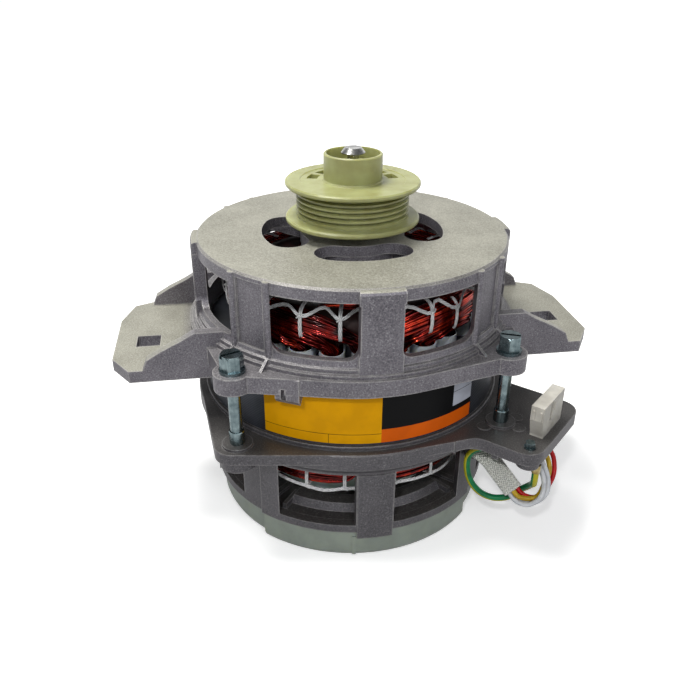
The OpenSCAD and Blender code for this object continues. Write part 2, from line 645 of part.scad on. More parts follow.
module cooling_fan() color([0.86, 0.88, 0.84]) {
  tube(shaft_r + 5, shaft_r, fan_z[0], fan_z[1] + 1.4);
  tube(fan_r, shaft_r + 4, fan_z[0], fan_z[0] + 1.8);
  for (k = [0:11]) rotate([0, 0, 30 * k])
    box([fan_r - 22, fan_r - 0.5], [-0.8, 0.8], [fan_z[0] + 0.5, fan_z[1] - 0.4]);
  tube(fan_r, fan_r - 1.4, fan_z[0] + 0.5, fan_z[1]);
}

// belt face, flanges and hub as one turned profile; grooves cut from it
module pulley() color(nylon) difference() {
  union() {
    rotate_extrude() polygon([[nose_r, pul_z[0]], [pul_r - 0.6, pul_z[0]], [pul_r, pul_z[0] + 0.6],
      [pul_r, pul_z[0] + pul_t - 0.7], [pul_r - 0.7, pul_z[0] + pul_t], [rib_r, pul_z[0] + pul_t + 0.3],
      [rib_r, pul_z[1] - pul_t - 0.3], [pul_r - 0.7, pul_z[1] - pul_t], [pul_r, pul_z[1] - pul_t + 0.7],
      [pul_r, pul_z[1] - 0.6], [pul_r - 0.6, pul_z[1]], [23.8, pul_z[1]], [23.4, pul_z[1] - 0.35],
      [hub_r + 0.5, pul_z[1] - 0.35], [hub_r, pul_z[1] + 0.3], [hub_r, hub_z - 0.4],
      [hub_r - 0.4, hub_z], [hub_r - hub_t, hub_z], [hub_r - hub_t, hub_z - 6],
      [nose_r + 1.8, hub_z - 6], [nose_r + 1.8, hub_z - 4.2], [nose_r, hub_z - 4.2]]);
    for (k = [0:5]) rotate([0, 0, 60 * k + 12])
      box([nose_r + 1, hub_r - 0.8], [-0.6, 0.6], [hub_z - 7, hub_z - 4.6]);
  }
  for (k = [0:rib_n - 1]) translate([0, 0, pul_z[0] + pul_t + 2.4 + rib_p * k]) rotate_extrude()
    polygon([[rib_r - rib_d, -0.15], [rib_r + 0.1, -0.82], [rib_r + 0.1, 0.82], [rib_r - rib_d, 0.15]]);
  for (a = [-128, 116, 172]) for (s = [-1, 1]) slice(a + s * 15, 11)
    translate([16, pul_z[1] - 3]) square([4.8, 5]);
  difference() {
    tube(20, nose_r + 3.2, pul_z[0] - 1, pul_z[1] - 6);
    for (k = [0:5]) rotate([0, 0, 60 * k]) box([5, 25], [-1, 1], [pul_z[0] - 2, pul_z[1]]);
  }
}

module through_bolt(a) color(zinc) at(a) translate([bolt_c, 0, 0]) {
  translate([0, 0, low_rim_z1 - 11.5]) cylinder(r = bolt_r, h = rim_z1 - low_rim_z1 + 11.5 + 1, $fn = 48);
  translate([0, 0, rim_z1]) cylinder(r = 5.4, h = 1.3, $fn = 48);
  difference() {
    translate([0, 0, rim_z1 + 1]) intersection() {
      rotate([0, 0, a + 10]) cylinder(r = bolt_af / sqrt(3), h = bolt_h, $fn = 6);
      cylinder(r1 = bolt_af, r2 = bolt_af / 2 + 0.1, h = bolt_h, $fn = 48);
    }
    translate([0, 0, rim_z1 + bolt_h - 0.4]) rotate([0, 0, a * 0.5]) box([-8, 8], [-0.7, 0.7], [0, 3]);
  }
}

module through_bolt_fl() { through_bolt(-45); }
module through_bolt_fr() { through_bolt(45); }
module through_bolt_bl() { through_bolt(-135); }
module through_bolt_br() { through_bolt(135); }

module bolt_collars() color(zinc) at_bolts() rotate_extrude() polygon([[bolt_r + fit, boss_z],
  [bolt_r + 0.5, boss_z], [bolt_r + 0.6, boss_z + 0.6], [bolt_r + 0.6, boss_z + 5.6],
  [bolt_r + 0.4, boss_z + 6.1], [bolt_r + fit, boss_z + 6.1]]);

module cap_shape(g, z0, z1) {
  for (a = [0, 180]) slice(a, 45) polygon([[0, z0], [cap_r - g - 3, z0], [cap_r - g - 0.9, z0 + 0.9],
    [cap_r - g, z0 + 3], [cap_r - g, z1], [0, z1]]);
  for (a = [90, 270]) slice(a, 45.2) polygon([[0, z0], [cap_side_r - g - 3, z0],
    [cap_side_r - g - 0.9, z0 + 0.9], [cap_side_r - g, z0 + 3], [cap_side_r - g, z1], [0, z1]]);
}

module end_cap() color([0.74, 0.78, 0.73]) difference() {
  union() {
    cap_shape(0, 0, floor_z0);
    for (a = [-7.6, 172.4]) slice(a, 0.7) translate([cap_r - 1, 1.5]) square([1.5, floor_z0 - 5]);
  }
  cap_shape(cap_t, cap_t, floor_z0 + 5);
}

module connector_housing() color([0.84, 0.82, 0.77]) at(45) difference() {
  union() {
    translate([con_a - con_w / 2, 0, 0]) rotate([90, 0, 90]) linear_extrude(con_w)
      polygon([[con_t[0] + con_step, con_z[0]], [con_t[1], con_z[0]], [con_t[1], con_z[1]],
        [con_t[0], con_z[1]], [con_t[0], low_rim_z1 + 9], [con_t[0] + con_step, low_rim_z1 + 1]]);
    for (a = [-1.9, 1.3]) box([con_a + a, con_a + a + 1], [con_t[0] - 0.5, con_t[0] + 1],
      [low_rim_z1 + 9.5, con_z[1] - 2]);
    translate([con_a + con_w / 2 - 0.5, 0, 0]) rotate([90, 0, 90]) linear_extrude(1.3)
      polygon([[latch_t + 1.9, con_z[1] - 1], [latch_t + 6, con_z[1] - 5.2],
        [latch_t + 1.9, con_z[1] - 5.2]]);
  }
  box([con_a + con_w / 2 - 1.2, con_a + con_w], [latch_t - 0.8, latch_t + 1.2],
    [con_z[1] - 10, con_z[1] - 1]);
  for (k = [0:3])
    box([con_a - 1.9, con_a + 1.9], [pin_t(k) - 1.1, pin_t(k) + 1.1], [con_z[0] + 3, con_z[1] - 1.6]);
}

latch_t = con_t[0] + 8.8;
function pin_t(k) = con_t[0] + 4.2 + 4.84 * k;

module connector_terminals() color([0.78, 0.7, 0.45]) at(45) for (k = [0:3])
  box([con_a - 1.4, con_a + 1.4], [pin_t(k) - 0.4, pin_t(k) + 0.4], [con_z[0] + 3, con_z[1] - 4]);

module earth_screw() color(zinc) at(45) translate([earth_at[0], earth_at[1], 0]) {
  translate([0, 0, earth_z - 2]) cylinder(r = 1.5, h = low_rim_z1 - earth_z + 2.5, $fn = 48);
  translate([0, 0, low_rim_z1]) cylinder(r = 2.5, h = 0.8, $fn = 48);
  translate([0, 0, low_rim_z1 + 0.6]) cylinder(r = 2.2, h = 2.4, $fn = 6);
}

// ring tag under the screw boss with a round barrel for the wire
earth_end = [earth_at[0] + 3.4, earth_at[1] + 2.2];
tag_z = earth_z - 0.9;
barrel_z = earth_z - 4;
module earth_terminal() color([0.8, 0.78, 0.6]) at(45) difference() {
  union() {
    translate([earth_at[0], earth_at[1], tag_z]) cylinder(r = 3.2, h = 0.9);
    translate([earth_end[0], earth_end[1], barrel_z]) cylinder(r = 1.9, h = earth_z - barrel_z);
  }
  translate([earth_at[0], earth_at[1], 40]) cylinder(r = 1.55, h = 30);
}

module outlet_grommet() color([0.3, 0.3, 0.3]) outlet() difference() {
  translate([3, 0, 0]) rotate([0, 90, 0]) cylinder(r = sleeve_d / 2 + 1, h = 8.5);
  translate([-1, 0, 0]) rotate([0, 90, 0]) cylinder(r = sleeve_d / 2 + 0.02, h = 20);
}

// middle line of the sleeve: straight, bent down, straight
function on_sleeve(s) = let (t = max(0, min(sleeve_bend, (s - sleeve_s1) / sleeve_rb * 180 / PI)),
  e = max(0, s - sleeve_s1 - sleeve_rb * sleeve_bend * PI / 180), g = min(s, sleeve_s1))
  [g + sleeve_rb * sin(t) + e * cos(t), 0, -sleeve_rb * (1 - cos(t)) - e * sin(t)];
sleeve_len = sleeve_s1 + sleeve_rb * sleeve_bend * PI / 180 + sleeve_s2;
sleeve_path = [for (k = [0:18]) on_sleeve(sleeve_len * k / 18)];

module lead_sleeve() color([0.66, 0.67, 0.66]) outlet()
  sweep(sleeve_path, [for (q = sleeve_path) [0, 1, 0]], sleeve_d / 1.04, 16);

// leads: bracket coordinates are radial, across and height; to_xyz turns them into the motor's
function to_xyz(p) = [(p[0] + p[1]) / sqrt(2), (p[1] - p[0]) / sqrt(2), p[2]];
sleeve_dirs = [cos(outlet_dir - 45), sin(outlet_dir - 45)];
sleeve_s = sleeve_s1 + sleeve_rb * sin(sleeve_bend) + sleeve_s2 * cos(sleeve_bend);
sleeve_drop = sleeve_rb * (1 - cos(sleeve_bend)) + sleeve_s2 * sin(sleeve_bend);
mouth = [outlet_at[0] + sleeve_s * sleeve_dirs[0], outlet_at[1] + sleeve_s * sleeve_dirs[1],
  outlet_z - sleeve_drop];
mouth_d = [cos(sleeve_bend) * sleeve_dirs[0], cos(sleeve_bend) * sleeve_dirs[1], -sin(sleeve_bend)];
mouth_u = [sin(sleeve_bend) * sleeve_dirs[0], sin(sleeve_bend) * sleeve_dirs[1], cos(sleeve_bend)];
mouth_v = [-sleeve_dirs[1], sleeve_dirs[0], 0];
function from_mouth(v, u, l) = mouth + mouth_v * v + mouth_u * u + mouth_d * l;
function to_pin(k, l) = [con_a, pin_t(k), con_z[0] - l];

// smooth curve through the points, n rings a span
function slope(p, i) = (p[i + 1] - p[i]) / norm(p[i + 1] - p[i]);
function tangent(p, i) = i == 0 ? slope(p, 0) : i == len(p) - 1 ? slope(p, i - 1) :
  let (g = norm(p[i] - p[i - 1]), h = norm(p[i + 1] - p[i]))
  (h * slope(p, i - 1) + g * slope(p, i)) / (g + h);
function spline(p, n) = concat([for (i = [0:len(p) - 2], k = [0:n - 1])
  let (h = norm(p[i + 1] - p[i]), t = k / n, u = t * t * (3 - 2 * t))
  p[i] * (1 - u) + p[i + 1] * u + h * t * (1 - t) * ((1 - t) * tangent(p, i) - t * tangent(p, i + 1))],
  [p[len(p) - 1]]);

white_a_pts = [from_mouth(-1.5, -1.4, 0), from_mouth(-1.5, -1.4, 3.9), [103.5, -7.1, 28.8],
  [107.5, -3.9, 33.1], [106.8, -0.2, 38.2], [104.1, 1.3, 43], to_pin(0, 4.1), to_pin(0, 0)];
white_b_pts = [from_mouth(1.5, -1.4, 0), from_mouth(1.5, -1.4, 4), [104, -3.5, 27.7],
  [108.4, 0.7, 32.7], [106.4, 4.4, 39.2], [103.3, 5.6, 43.7], to_pin(1, 4.2), to_pin(1, 0)];
yellow_pts = [from_mouth(-1.5, 1.5, 0), from_mouth(-1.5, 1.5, 2.5), [105.2, -2.8, 31.4],
  [105.8, 4, 35.4], [105.6, 8.7, 39.3], [103.5, 10.6, 43.3], to_pin(2, 4.2), to_pin(2, 0)];
red_pts = [from_mouth(1.5, 1.5, 0), from_mouth(1.5, 1.5, 2.7), [104.4, -0.5, 29.3], [106.4, 6.8, 31.1],
  [106.5, 12.9, 35.5], [104.2, 15.9, 41.7], to_pin(3, 4.2), to_pin(3, 0)];
earth_pts = [earth_lug, earth_lug - [4.4, 0, 0], [73.7, -10.1, 44.5], [74, -10.7, 36.9],
  [76.6, -10.4, 30.8], [81.2, -8.5, 25.7], [86.5, -5.4, 23.5], [91.8, -1.9, 24.4], [96.6, 0.8, 29.3],
  [101.1, -1.3, 35.1], [earth_end[0], earth_end[1], barrel_z - 4.3],
  [earth_end[0], earth_end[1], barrel_z]];

// a lead leaves and ends on a straight span, square to the face it meets
module lead(pts, d, n, rgb) {
  s = spline(pts, n);
  e = len(s) - 1;
  p = [for (i = [0:e]) if (i == 0 || i == e || (i >= n && i <= e - n)) to_xyz(s[i])];
  color(rgb) sweep(p, [for (q = p) [1, 1, 0]], d, 8);
}

module earth_wire() { lead(earth_pts, earth_d, 3, [0.05, 0.5, 0.3]); }
module lead_white_a() { lead(white_a_pts, lead_d, 3, white); }
module lead_white_b() { lead(white_b_pts, lead_d, 3, white); }
module lead_red() { lead(red_pts, lead_d, 3, [0.72, 0.06, 0.05]); }
module lead_yellow() { lead(yellow_pts, lead_d, 3, [0.72, 0.62, 0.12]); }

upper_housing();
lower_housing();
stator_core();
slot_liners();
slot_conductors();
crown_upper();
crown_upper_turns();
crown_lower();
lacing_upper();
lacing_lower();
blank_label();
rotor_core();
rotor_cage();
shaft();
bearing_upper_outer();
bearing_upper_inner();
bearing_upper_balls();
bearing_lower_outer();
bearing_lower_inner();
bearing_lower_balls();
wave_washer();
cooling_fan();
pulley();
through_bolt_fl();
through_bolt_fr();
through_bolt_bl();
through_bolt_br();
bolt_collars();
end_cap();
connector_housing();
connector_terminals();
earth_screw();
earth_terminal();
outlet_grommet();
lead_sleeve();
earth_wire();
lead_white_a();
lead_white_b();
lead_red();
lead_yellow();
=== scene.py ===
# Belt-drive washing machine motor: finishes, windings, lacing, leads, braid and stage.
import bpy
import math
import random
from itertools import product
from mathutils import Matrix, Vector


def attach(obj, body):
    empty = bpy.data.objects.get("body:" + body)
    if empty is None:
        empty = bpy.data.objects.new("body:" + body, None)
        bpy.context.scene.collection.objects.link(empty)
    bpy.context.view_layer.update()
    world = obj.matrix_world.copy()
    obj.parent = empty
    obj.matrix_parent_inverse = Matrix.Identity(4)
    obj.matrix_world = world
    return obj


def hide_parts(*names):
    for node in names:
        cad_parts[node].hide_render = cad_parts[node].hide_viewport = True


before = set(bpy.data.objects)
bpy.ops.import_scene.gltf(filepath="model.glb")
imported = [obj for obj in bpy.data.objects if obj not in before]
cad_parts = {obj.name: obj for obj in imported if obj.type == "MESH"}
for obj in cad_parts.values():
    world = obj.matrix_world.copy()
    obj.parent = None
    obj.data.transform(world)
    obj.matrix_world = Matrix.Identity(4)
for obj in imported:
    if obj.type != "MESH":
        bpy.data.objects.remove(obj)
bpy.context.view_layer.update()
MM = 0.001
UP = Vector((0.0, 0.0, 1.0))
TURN = 2.0 * math.pi

# The photograph's viewpoint in the motor's own frame, in metres and degrees; lens and sensor in mm.
CAMERA_PLACE = (-0.05476, -0.32287, 0.24536)
CAMERA_DIP, CAMERA_SWING, CAMERA_ROLL = 27.977, 9.546, 0.622
LENS, SENSOR = 38.152, 36.0


def stand_camera():
    """Stands the camera where the photograph was taken from."""
    lens = bpy.data.cameras.new("photo_camera")
    camera = bpy.data.objects.new("photo_camera", lens)
    bpy.context.scene.collection.objects.link(camera)
    lens.sensor_width = SENSOR
    lens.lens = LENS
    lens.clip_start = 0.01
    lens.clip_end = 20.0
    dip, swing, roll = (math.radians(angle) for angle in (CAMERA_DIP, CAMERA_SWING, CAMERA_ROLL))
    ahead = Vector((math.cos(dip) * math.sin(swing), math.cos(dip) * math.cos(swing), -math.sin(dip)))
    right = ahead.cross(UP).normalized()
    over = right.cross(ahead).normalized()
    turn = Matrix((right, over, -ahead)).transposed() @ Matrix.Rotation(roll, 3, "Z")
    camera.matrix_world = Matrix.Translation(CAMERA_PLACE) @ turn.to_4x4()
    bpy.context.scene.camera = camera


stand_camera()


# Places and routes, in millimetres until they become a mesh.
def motor_point(angle, radius, height):
    """The angle is in degrees from the front, plus towards the right ear."""
    a = math.radians(angle)
    return Vector((radius * math.sin(a), -radius * math.cos(a), height))


def bracket_point(p):
    """Side bracket's own directions (out, across, up) as the motor's."""
    s = math.sqrt(0.5)
    return Vector(((p[0] + p[1]) * s, (p[1] - p[0]) * s, p[2]))


def smooth_route(points, steps):
    """Smooth curve through the points, so many steps a span. At a point it follows the shorter span most."""
    spans = [(b - a).length for a, b in zip(points, points[1:])]
    slopes = [(b - a) / h for a, b, h in zip(points, points[1:], spans)]
    lean = [slopes[0]]
    for i in range(1, len(spans)):
        lean.append((slopes[i - 1] * spans[i] + slopes[i] * spans[i - 1]) / (spans[i - 1] + spans[i]))
    lean.append(slopes[-1])
    route = []
    for i, h in enumerate(spans):
        for k in range(steps):
            t = k / steps
            u = t * t * (3.0 - 2.0 * t)
            route.append(points[i] * (1.0 - u) + points[i + 1] * u
                         + (lean[i] * (1.0 - t) - lean[i + 1] * t) * (h * t * (1.0 - t)))
    route.append(points[-1].copy())
    return route


# Nodes of materials, of the world and of geometry are all fed and added by these two functions.
def feed(tree, node, feeds):
    """A feed is a value, a node (its first live output) or an output, by input name or number."""
    for slot, source in dict(feeds).items():
        if isinstance(slot, int):
            socket = node.inputs[slot]
        else:
            socket = next(s for s in node.inputs if s.enabled and s.name == slot)
        if isinstance(source, bpy.types.Node):
            source = next(s for s in source.outputs if s.enabled)
        if isinstance(source, bpy.types.NodeSocket):
            tree.links.new(source, socket)
        else:
            socket.default_value = source


def put(tree, kind, feeds=(), **settings):
    """Adds a node with its settings and its feeds."""
    node = tree.nodes.new(kind)
    for key, value in settings.items():
        setattr(node, key, value)
    feed(tree, node, feeds)
    return node


def hue(code):
    """sRGB hex as scene-linear RGBA."""
    parts = [int(code[i:i + 2], 16) / 255 for i in (1, 3, 5)]
    return tuple([c / 12.92 if c <= 0.04045 else ((c + 0.055) / 1.055) ** 2.4 for c in parts] + [1.0])


def cells(size_mm):
    """Noise scale at which one cloud is about size_mm across."""
    return 1.0 / (size_mm * MM)


def new_finish(name, **sockets):
    """A material with its shader's own sockets set, and the object coordinates to draw patterns on."""
    material = bpy.data.materials.new(name)
    material.use_nodes = True
    tree = material.node_tree
    shader = tree.nodes["Principled BSDF"]
    for label, value in sockets.items():
        shader.inputs[label.replace("_", " ")].default_value = value
    return material, tree, shader, put(tree, "ShaderNodeTexCoord").outputs["Object"]


# Where a casting's painted top light comes in, in mm: on the ears by their reach sideways, on the disc by its
# height.
EAR_REACH = (74.0, 82.0)
DISC_HEIGHT = (120.0, 125.0)
# how far from an edge a corner is painted pale, as rubbed wear and as painted highlight
CORNER_MM = 1.1


def top_light_mask(tree, place, normal, low_share):
    """Share of painted light on level faces: in full on the top disc and the ears, by low_share on other
    level faces.
    """
    spot = put(tree, "ShaderNodeSeparateXYZ", {"Vector": place})
    reach = put(tree, "ShaderNodeMath", {0: spot.outputs["X"]}, operation="ABSOLUTE")
    ears = put(tree, "ShaderNodeMapRange", {"Value": reach, "From Min": EAR_REACH[0] * MM,
                                            "From Max": EAR_REACH[1] * MM, "To Min": low_share})
    disc = put(tree, "ShaderNodeMapRange", {"Value": spot.outputs["Z"], "From Min": DISC_HEIGHT[0] * MM,
                                            "From Max": DISC_HEIGHT[1] * MM})
    where = put(tree, "ShaderNodeMath", {0: ears, 1: disc}, operation="MAXIMUM")
    upward = put(tree, "ShaderNodeSeparateXYZ", {"Vector": normal})
    level = put(tree, "ShaderNodeMapRange",
                {"Value": upward.outputs["Z"], "From Min": 0.5, "From Max": 0.97})
    return put(tree, "ShaderNodeMath", {0: where, 1: level}, operation="MULTIPLY")


def corner_mask(tree, normal, waves):
    """In full where a rounded corner's normal would leave the face's own, and broken up by the waves."""
    rounded = put(tree, "ShaderNodeBevel", {"Radius": CORNER_MM * MM}, samples=4)
    turned = put(tree, "ShaderNodeVectorMath", {0: rounded, 1: normal}, operation="DOT_PRODUCT")
    corner = put(tree, "ShaderNodeMapRange",
                 {"Value": turned.outputs["Value"], "From Min": 0.97, "From Max": 0.78})
    gaps = put(tree, "ShaderNodeMapRange",
               {"Value": waves, "From Min": 0.36, "From Max": 0.6, "To Min": 0.35})
    return put(tree, "ShaderNodeMath", {0: corner, 1: gaps}, operation="MULTIPLY")


def die_cast(name, deep, face, top_deep, top_face, low_share, edge_wear_and_highlight, spark, sheen):
    """Aluminium die casting, shot-blasted and left bare. The blast gives a fine grey grain with no clear
    reflection, lit by painted glints. Corners are painted pale, partly as rubbed wear and partly as painted
    highlight. Level faces carry painted light from above in their own top tones: in full on the top disc
    and the ears, and by low_share on the ledges between them."""
    material, tree, shader, place = new_finish(name, Metallic=0.45)
    normal = put(tree, "ShaderNodeNewGeometry").outputs["Normal"]
    clouds = put(tree, "ShaderNodeTexNoise", {"Vector": place, "Scale": cells(17.0), "Detail": 4.0})
    waves = put(tree, "ShaderNodeTexNoise", {"Vector": place, "Scale": cells(3.4), "Detail": 3.0})
    # shot leaves pits near 0.15 mm; drawn 0.6 mm across so that they show
    pits = put(tree, "ShaderNodeTexNoise", {"Vector": place, "Scale": cells(0.6), "Detail": 1.5})
    patch = put(tree, "ShaderNodeMapRange", {"Value": clouds, "From Min": 0.32, "From Max": 0.68})
    fleck = put(tree, "ShaderNodeMapRange", {"Value": pits, "From Min": 0.3, "From Max": 0.7})
    mottle = put(tree, "ShaderNodeMath", {0: patch, 1: 0.3}, operation="MULTIPLY")
    mottle = put(tree, "ShaderNodeMath", {0: fleck, 1: 0.7, 2: mottle}, operation="MULTIPLY_ADD")
    skin = put(tree, "ShaderNodeMix", {"Factor": mottle, "A": hue(deep), "B": hue(face)}, data_type="RGBA")
    # level faces' own tones, painted light from above: pale on the upper bell, a little darker on the lower
    painted_light_mottle = put(tree, "ShaderNodeMix", {"Factor": mottle, "A": hue(top_deep), "B": hue(top_face)},
               data_type="RGBA")
    top_light = top_light_mask(tree, place, normal, low_share)
    skin = put(tree, "ShaderNodeMix", {"Factor": top_light, "A": skin, "B": painted_light_mottle}, data_type="RGBA")
    # painted glints: the brightest pits turn pale, up to spark, as specks of light off the grain
    glint = put(tree, "ShaderNodeMapRange",
                {"Value": pits, "From Min": 0.64, "From Max": 0.76, "To Max": spark})
    skin = put(tree, "ShaderNodeMix", {"Factor": glint, "A": skin, "B": hue("#e2e2de")}, data_type="RGBA")
    # corners painted pale: partly rubbed wear, partly a painted edge highlight
    wear_and_highlight_mask = corner_mask(tree, normal, waves)
    skin = put(tree, "ShaderNodeMix", {"Factor": wear_and_highlight_mask, "A": skin, "B": hue(edge_wear_and_highlight)}, data_type="RGBA")
    gloss = put(tree, "ShaderNodeMapRange", {"Value": pits, "To Min": sheen - 0.1, "To Max": sheen + 0.14})
    low = put(tree, "ShaderNodeBump", {"Height": waves, "Strength": 0.5, "Distance": 0.09 * MM})
    fine = put(tree, "ShaderNodeBump",
               {"Height": pits, "Strength": 0.8, "Distance": 0.06 * MM, "Normal": low})
    feed(tree, shader, {"Base Color": skin, "Roughness": gloss, "Normal": fine})
    return material


def bright_metal(name, base, dark, rough, line_mm, lines=(0.06, 0.06, 1.0)):
    """Metal, ground, drawn or plated. It mirrors the room in soft bands, is darker where it is stained,
    and shows faint lines: round the axis from the wheel, or along it from the drawing die."""
    material, tree, shader, place = new_finish(name, Metallic=1.0)
    stain = put(tree, "ShaderNodeTexNoise", {"Vector": place, "Scale": cells(3.2), "Detail": 4.0})
    patch = put(tree, "ShaderNodeMapRange", {"Value": stain, "From Min": 0.3, "From Max": 0.62})
    skin = put(tree, "ShaderNodeMix", {"Factor": patch, "A": hue(dark), "B": hue(base)}, data_type="RGBA")
    gloss = put(tree, "ShaderNodeMapRange", {"Value": stain, "To Min": rough + 0.16, "To Max": rough - 0.05})
    drawn = put(tree, "ShaderNodeMapping", {"Vector": place, "Scale": lines})
    rings = put(tree, "ShaderNodeTexNoise", {"Vector": drawn, "Scale": cells(line_mm), "Detail": 1.0})
    streak = put(tree, "ShaderNodeMapRange",
                 {"Value": rings, "From Min": 0.56, "From Max": 0.34, "To Max": 0.45})
    skin = put(tree, "ShaderNodeMix", {"Factor": streak, "A": skin, "B": hue(dark)}, data_type="RGBA")
    cut = put(tree, "ShaderNodeBump", {"Height": rings, "Strength": 0.6, "Distance": 0.02 * MM})
    feed(tree, shader, {"Base Color": skin, "Roughness": gloss, "Normal": cut})
    return material


def stamped_sheets(name, base, deep, pitch_mm):
    """Electrical steel stampings, stacked and varnished. The edge view is a dark blue-grey wall of thin
    lines with a dull gloss; sheets are 0.5 mm and are drawn as thick as pitch_mm so that they show."""
    material, tree, shader, place = new_finish(name, Metallic=0.6)
    parts = put(tree, "ShaderNodeSeparateXYZ", {"Vector": place})
    phase = put(tree, "ShaderNodeMath", {0: parts.outputs["Z"], 1: TURN / (pitch_mm * MM)},
                operation="MULTIPLY")
    wave = put(tree, "ShaderNodeMath", {0: phase}, operation="SINE")
    stain = put(tree, "ShaderNodeTexNoise", {"Vector": place, "Scale": cells(11.0), "Detail": 4.0})
    tone = put(tree, "ShaderNodeMath", {0: wave, 1: 0.2, 2: stain}, operation="MULTIPLY_ADD")
    patch = put(tree, "ShaderNodeMapRange", {"Value": tone, "From Min": 0.1, "From Max": 0.9})
    skin = put(tree, "ShaderNodeMix", {"Factor": patch, "A": hue(deep), "B": hue(base)}, data_type="RGBA")
    gloss = put(tree, "ShaderNodeMapRange", {"Value": wave, "From Min": -1.0, "To Min": 0.3, "To Max": 0.52})
    edge = put(tree, "ShaderNodeBump", {"Height": wave, "Strength": 0.8, "Distance": 0.05 * MM})
    feed(tree, shader, {"Base Color": skin, "Roughness": gloss, "Normal": edge})
    return material


def moulded(name, base, deep, rough, glow=0.0, glow_mm=3.0):
    """Moulded plastic or rubber. Nylon lets light in a few millimetres, so its edges look soft and waxy;
    its skin has the faint grain of the mould and slow clouds of age."""
    material, tree, shader, place = new_finish(name, Subsurface_Weight=glow, Subsurface_Scale=glow_mm * MM,
                                               Subsurface_Radius=(1.0, 0.9, 0.45))
    clouds = put(tree, "ShaderNodeTexNoise", {"Vector": place, "Scale": cells(8.0), "Detail": 3.0})
    patch = put(tree, "ShaderNodeMapRange", {"Value": clouds, "From Min": 0.3, "From Max": 0.66})
    skin = put(tree, "ShaderNodeMix", {"Factor": patch, "A": hue(deep), "B": hue(base)}, data_type="RGBA")
    rubs = put(tree, "ShaderNodeTexNoise", {"Vector": place, "Scale": cells(2.4), "Detail": 3.0})
    gloss = put(tree, "ShaderNodeMapRange", {"Value": rubs, "To Min": rough - 0.08, "To Max": rough + 0.12})
    # mould grain is near 0.1 mm; drawn 0.7 mm across so that it shows
    grain = put(tree, "ShaderNodeTexNoise", {"Vector": place, "Scale": cells(0.7), "Detail": 2.0})
    dimple = put(tree, "ShaderNodeBump", {"Height": grain, "Strength": 0.5, "Distance": 0.03 * MM})
    feed(tree, shader, {"Base Color": skin, "Roughness": gloss, "Normal": dimple})
    return material


def magnet_wire(name, shade_tone, body, lit):
    """Copper wire in red polyester enamel, wound and baked, with a clear coat over the metal. Wires differ
    in tone at random: painted near black shade, the body red and painted small orange glints."""
    material, tree, shader, place = new_finish(name, Metallic=0.9, Coat_Weight=0.3, Coat_Roughness=0.12)
    each = put(tree, "ShaderNodeAttribute", attribute_name="strand").outputs["Fac"]
    painted_light_mottle = put(tree, "ShaderNodeTexNoise", {"Vector": place, "Scale": cells(5.0), "Detail": 3.0})
    # each wire and cloud gets a tone at random: painted shade, the body red or a painted orange glint
    tone = put(tree, "ShaderNodeMath", {0: each, 1: 0.45, 2: painted_light_mottle}, operation="MULTIPLY_ADD")
    low = put(tree, "ShaderNodeMapRange", {"Value": tone, "From Min": 0.45, "From Max": 0.8})
    high = put(tree, "ShaderNodeMapRange", {"Value": tone, "From Min": 0.8, "From Max": 1.1})
    skin = put(tree, "ShaderNodeMix", {"Factor": low, "A": hue(shade_tone), "B": hue(body)}, data_type="RGBA")
    skin = put(tree, "ShaderNodeMix", {"Factor": high, "A": skin, "B": hue(lit)}, data_type="RGBA")
    gloss = put(tree, "ShaderNodeMapRange", {"Value": painted_light_mottle, "To Min": 0.1, "To Max": 0.26})
    feed(tree, shader, {"Base Color": skin, "Roughness": gloss})
    return material


def twisted_yarn(name, base, deep, plies, lay_mm):
    """Polyester or glass yarn, twisted from plies and left matt. The plies make short slanting shadows
    along the cord; the angle round the cord and the length along it come with the piece."""
    material, tree, shader, _ = new_finish(name, Roughness=0.72, Sheen_Weight=0.2)
    around = put(tree, "ShaderNodeAttribute", attribute_name="round").outputs["Vector"]
    ring = put(tree, "ShaderNodeSeparateXYZ", {"Vector": around})
    turn = put(tree, "ShaderNodeMath", {0: ring.outputs["Y"], 1: ring.outputs["X"]}, operation="ARCTAN2")
    run = put(tree, "ShaderNodeAttribute", attribute_name="run").outputs["Fac"]
    lay = put(tree, "ShaderNodeMath", {0: run, 1: TURN / (lay_mm * MM)}, operation="MULTIPLY")
    phase = put(tree, "ShaderNodeMath", {0: turn, 1: float(plies), 2: lay}, operation="MULTIPLY_ADD")
    ply = put(tree, "ShaderNodeMath", {0: phase}, operation="SINE")
    shade = put(tree, "ShaderNodeMapRange", {"Value": ply, "From Min": -1.0, "From Max": 0.1})
    skin = put(tree, "ShaderNodeMix", {"Factor": shade, "A": hue(deep), "B": hue(base)}, data_type="RGBA")
    swell = put(tree, "ShaderNodeBump", {"Height": ply, "Strength": 0.8, "Distance": 0.1 * MM})
    feed(tree, shader, {"Base Color": skin, "Normal": swell})
    return material


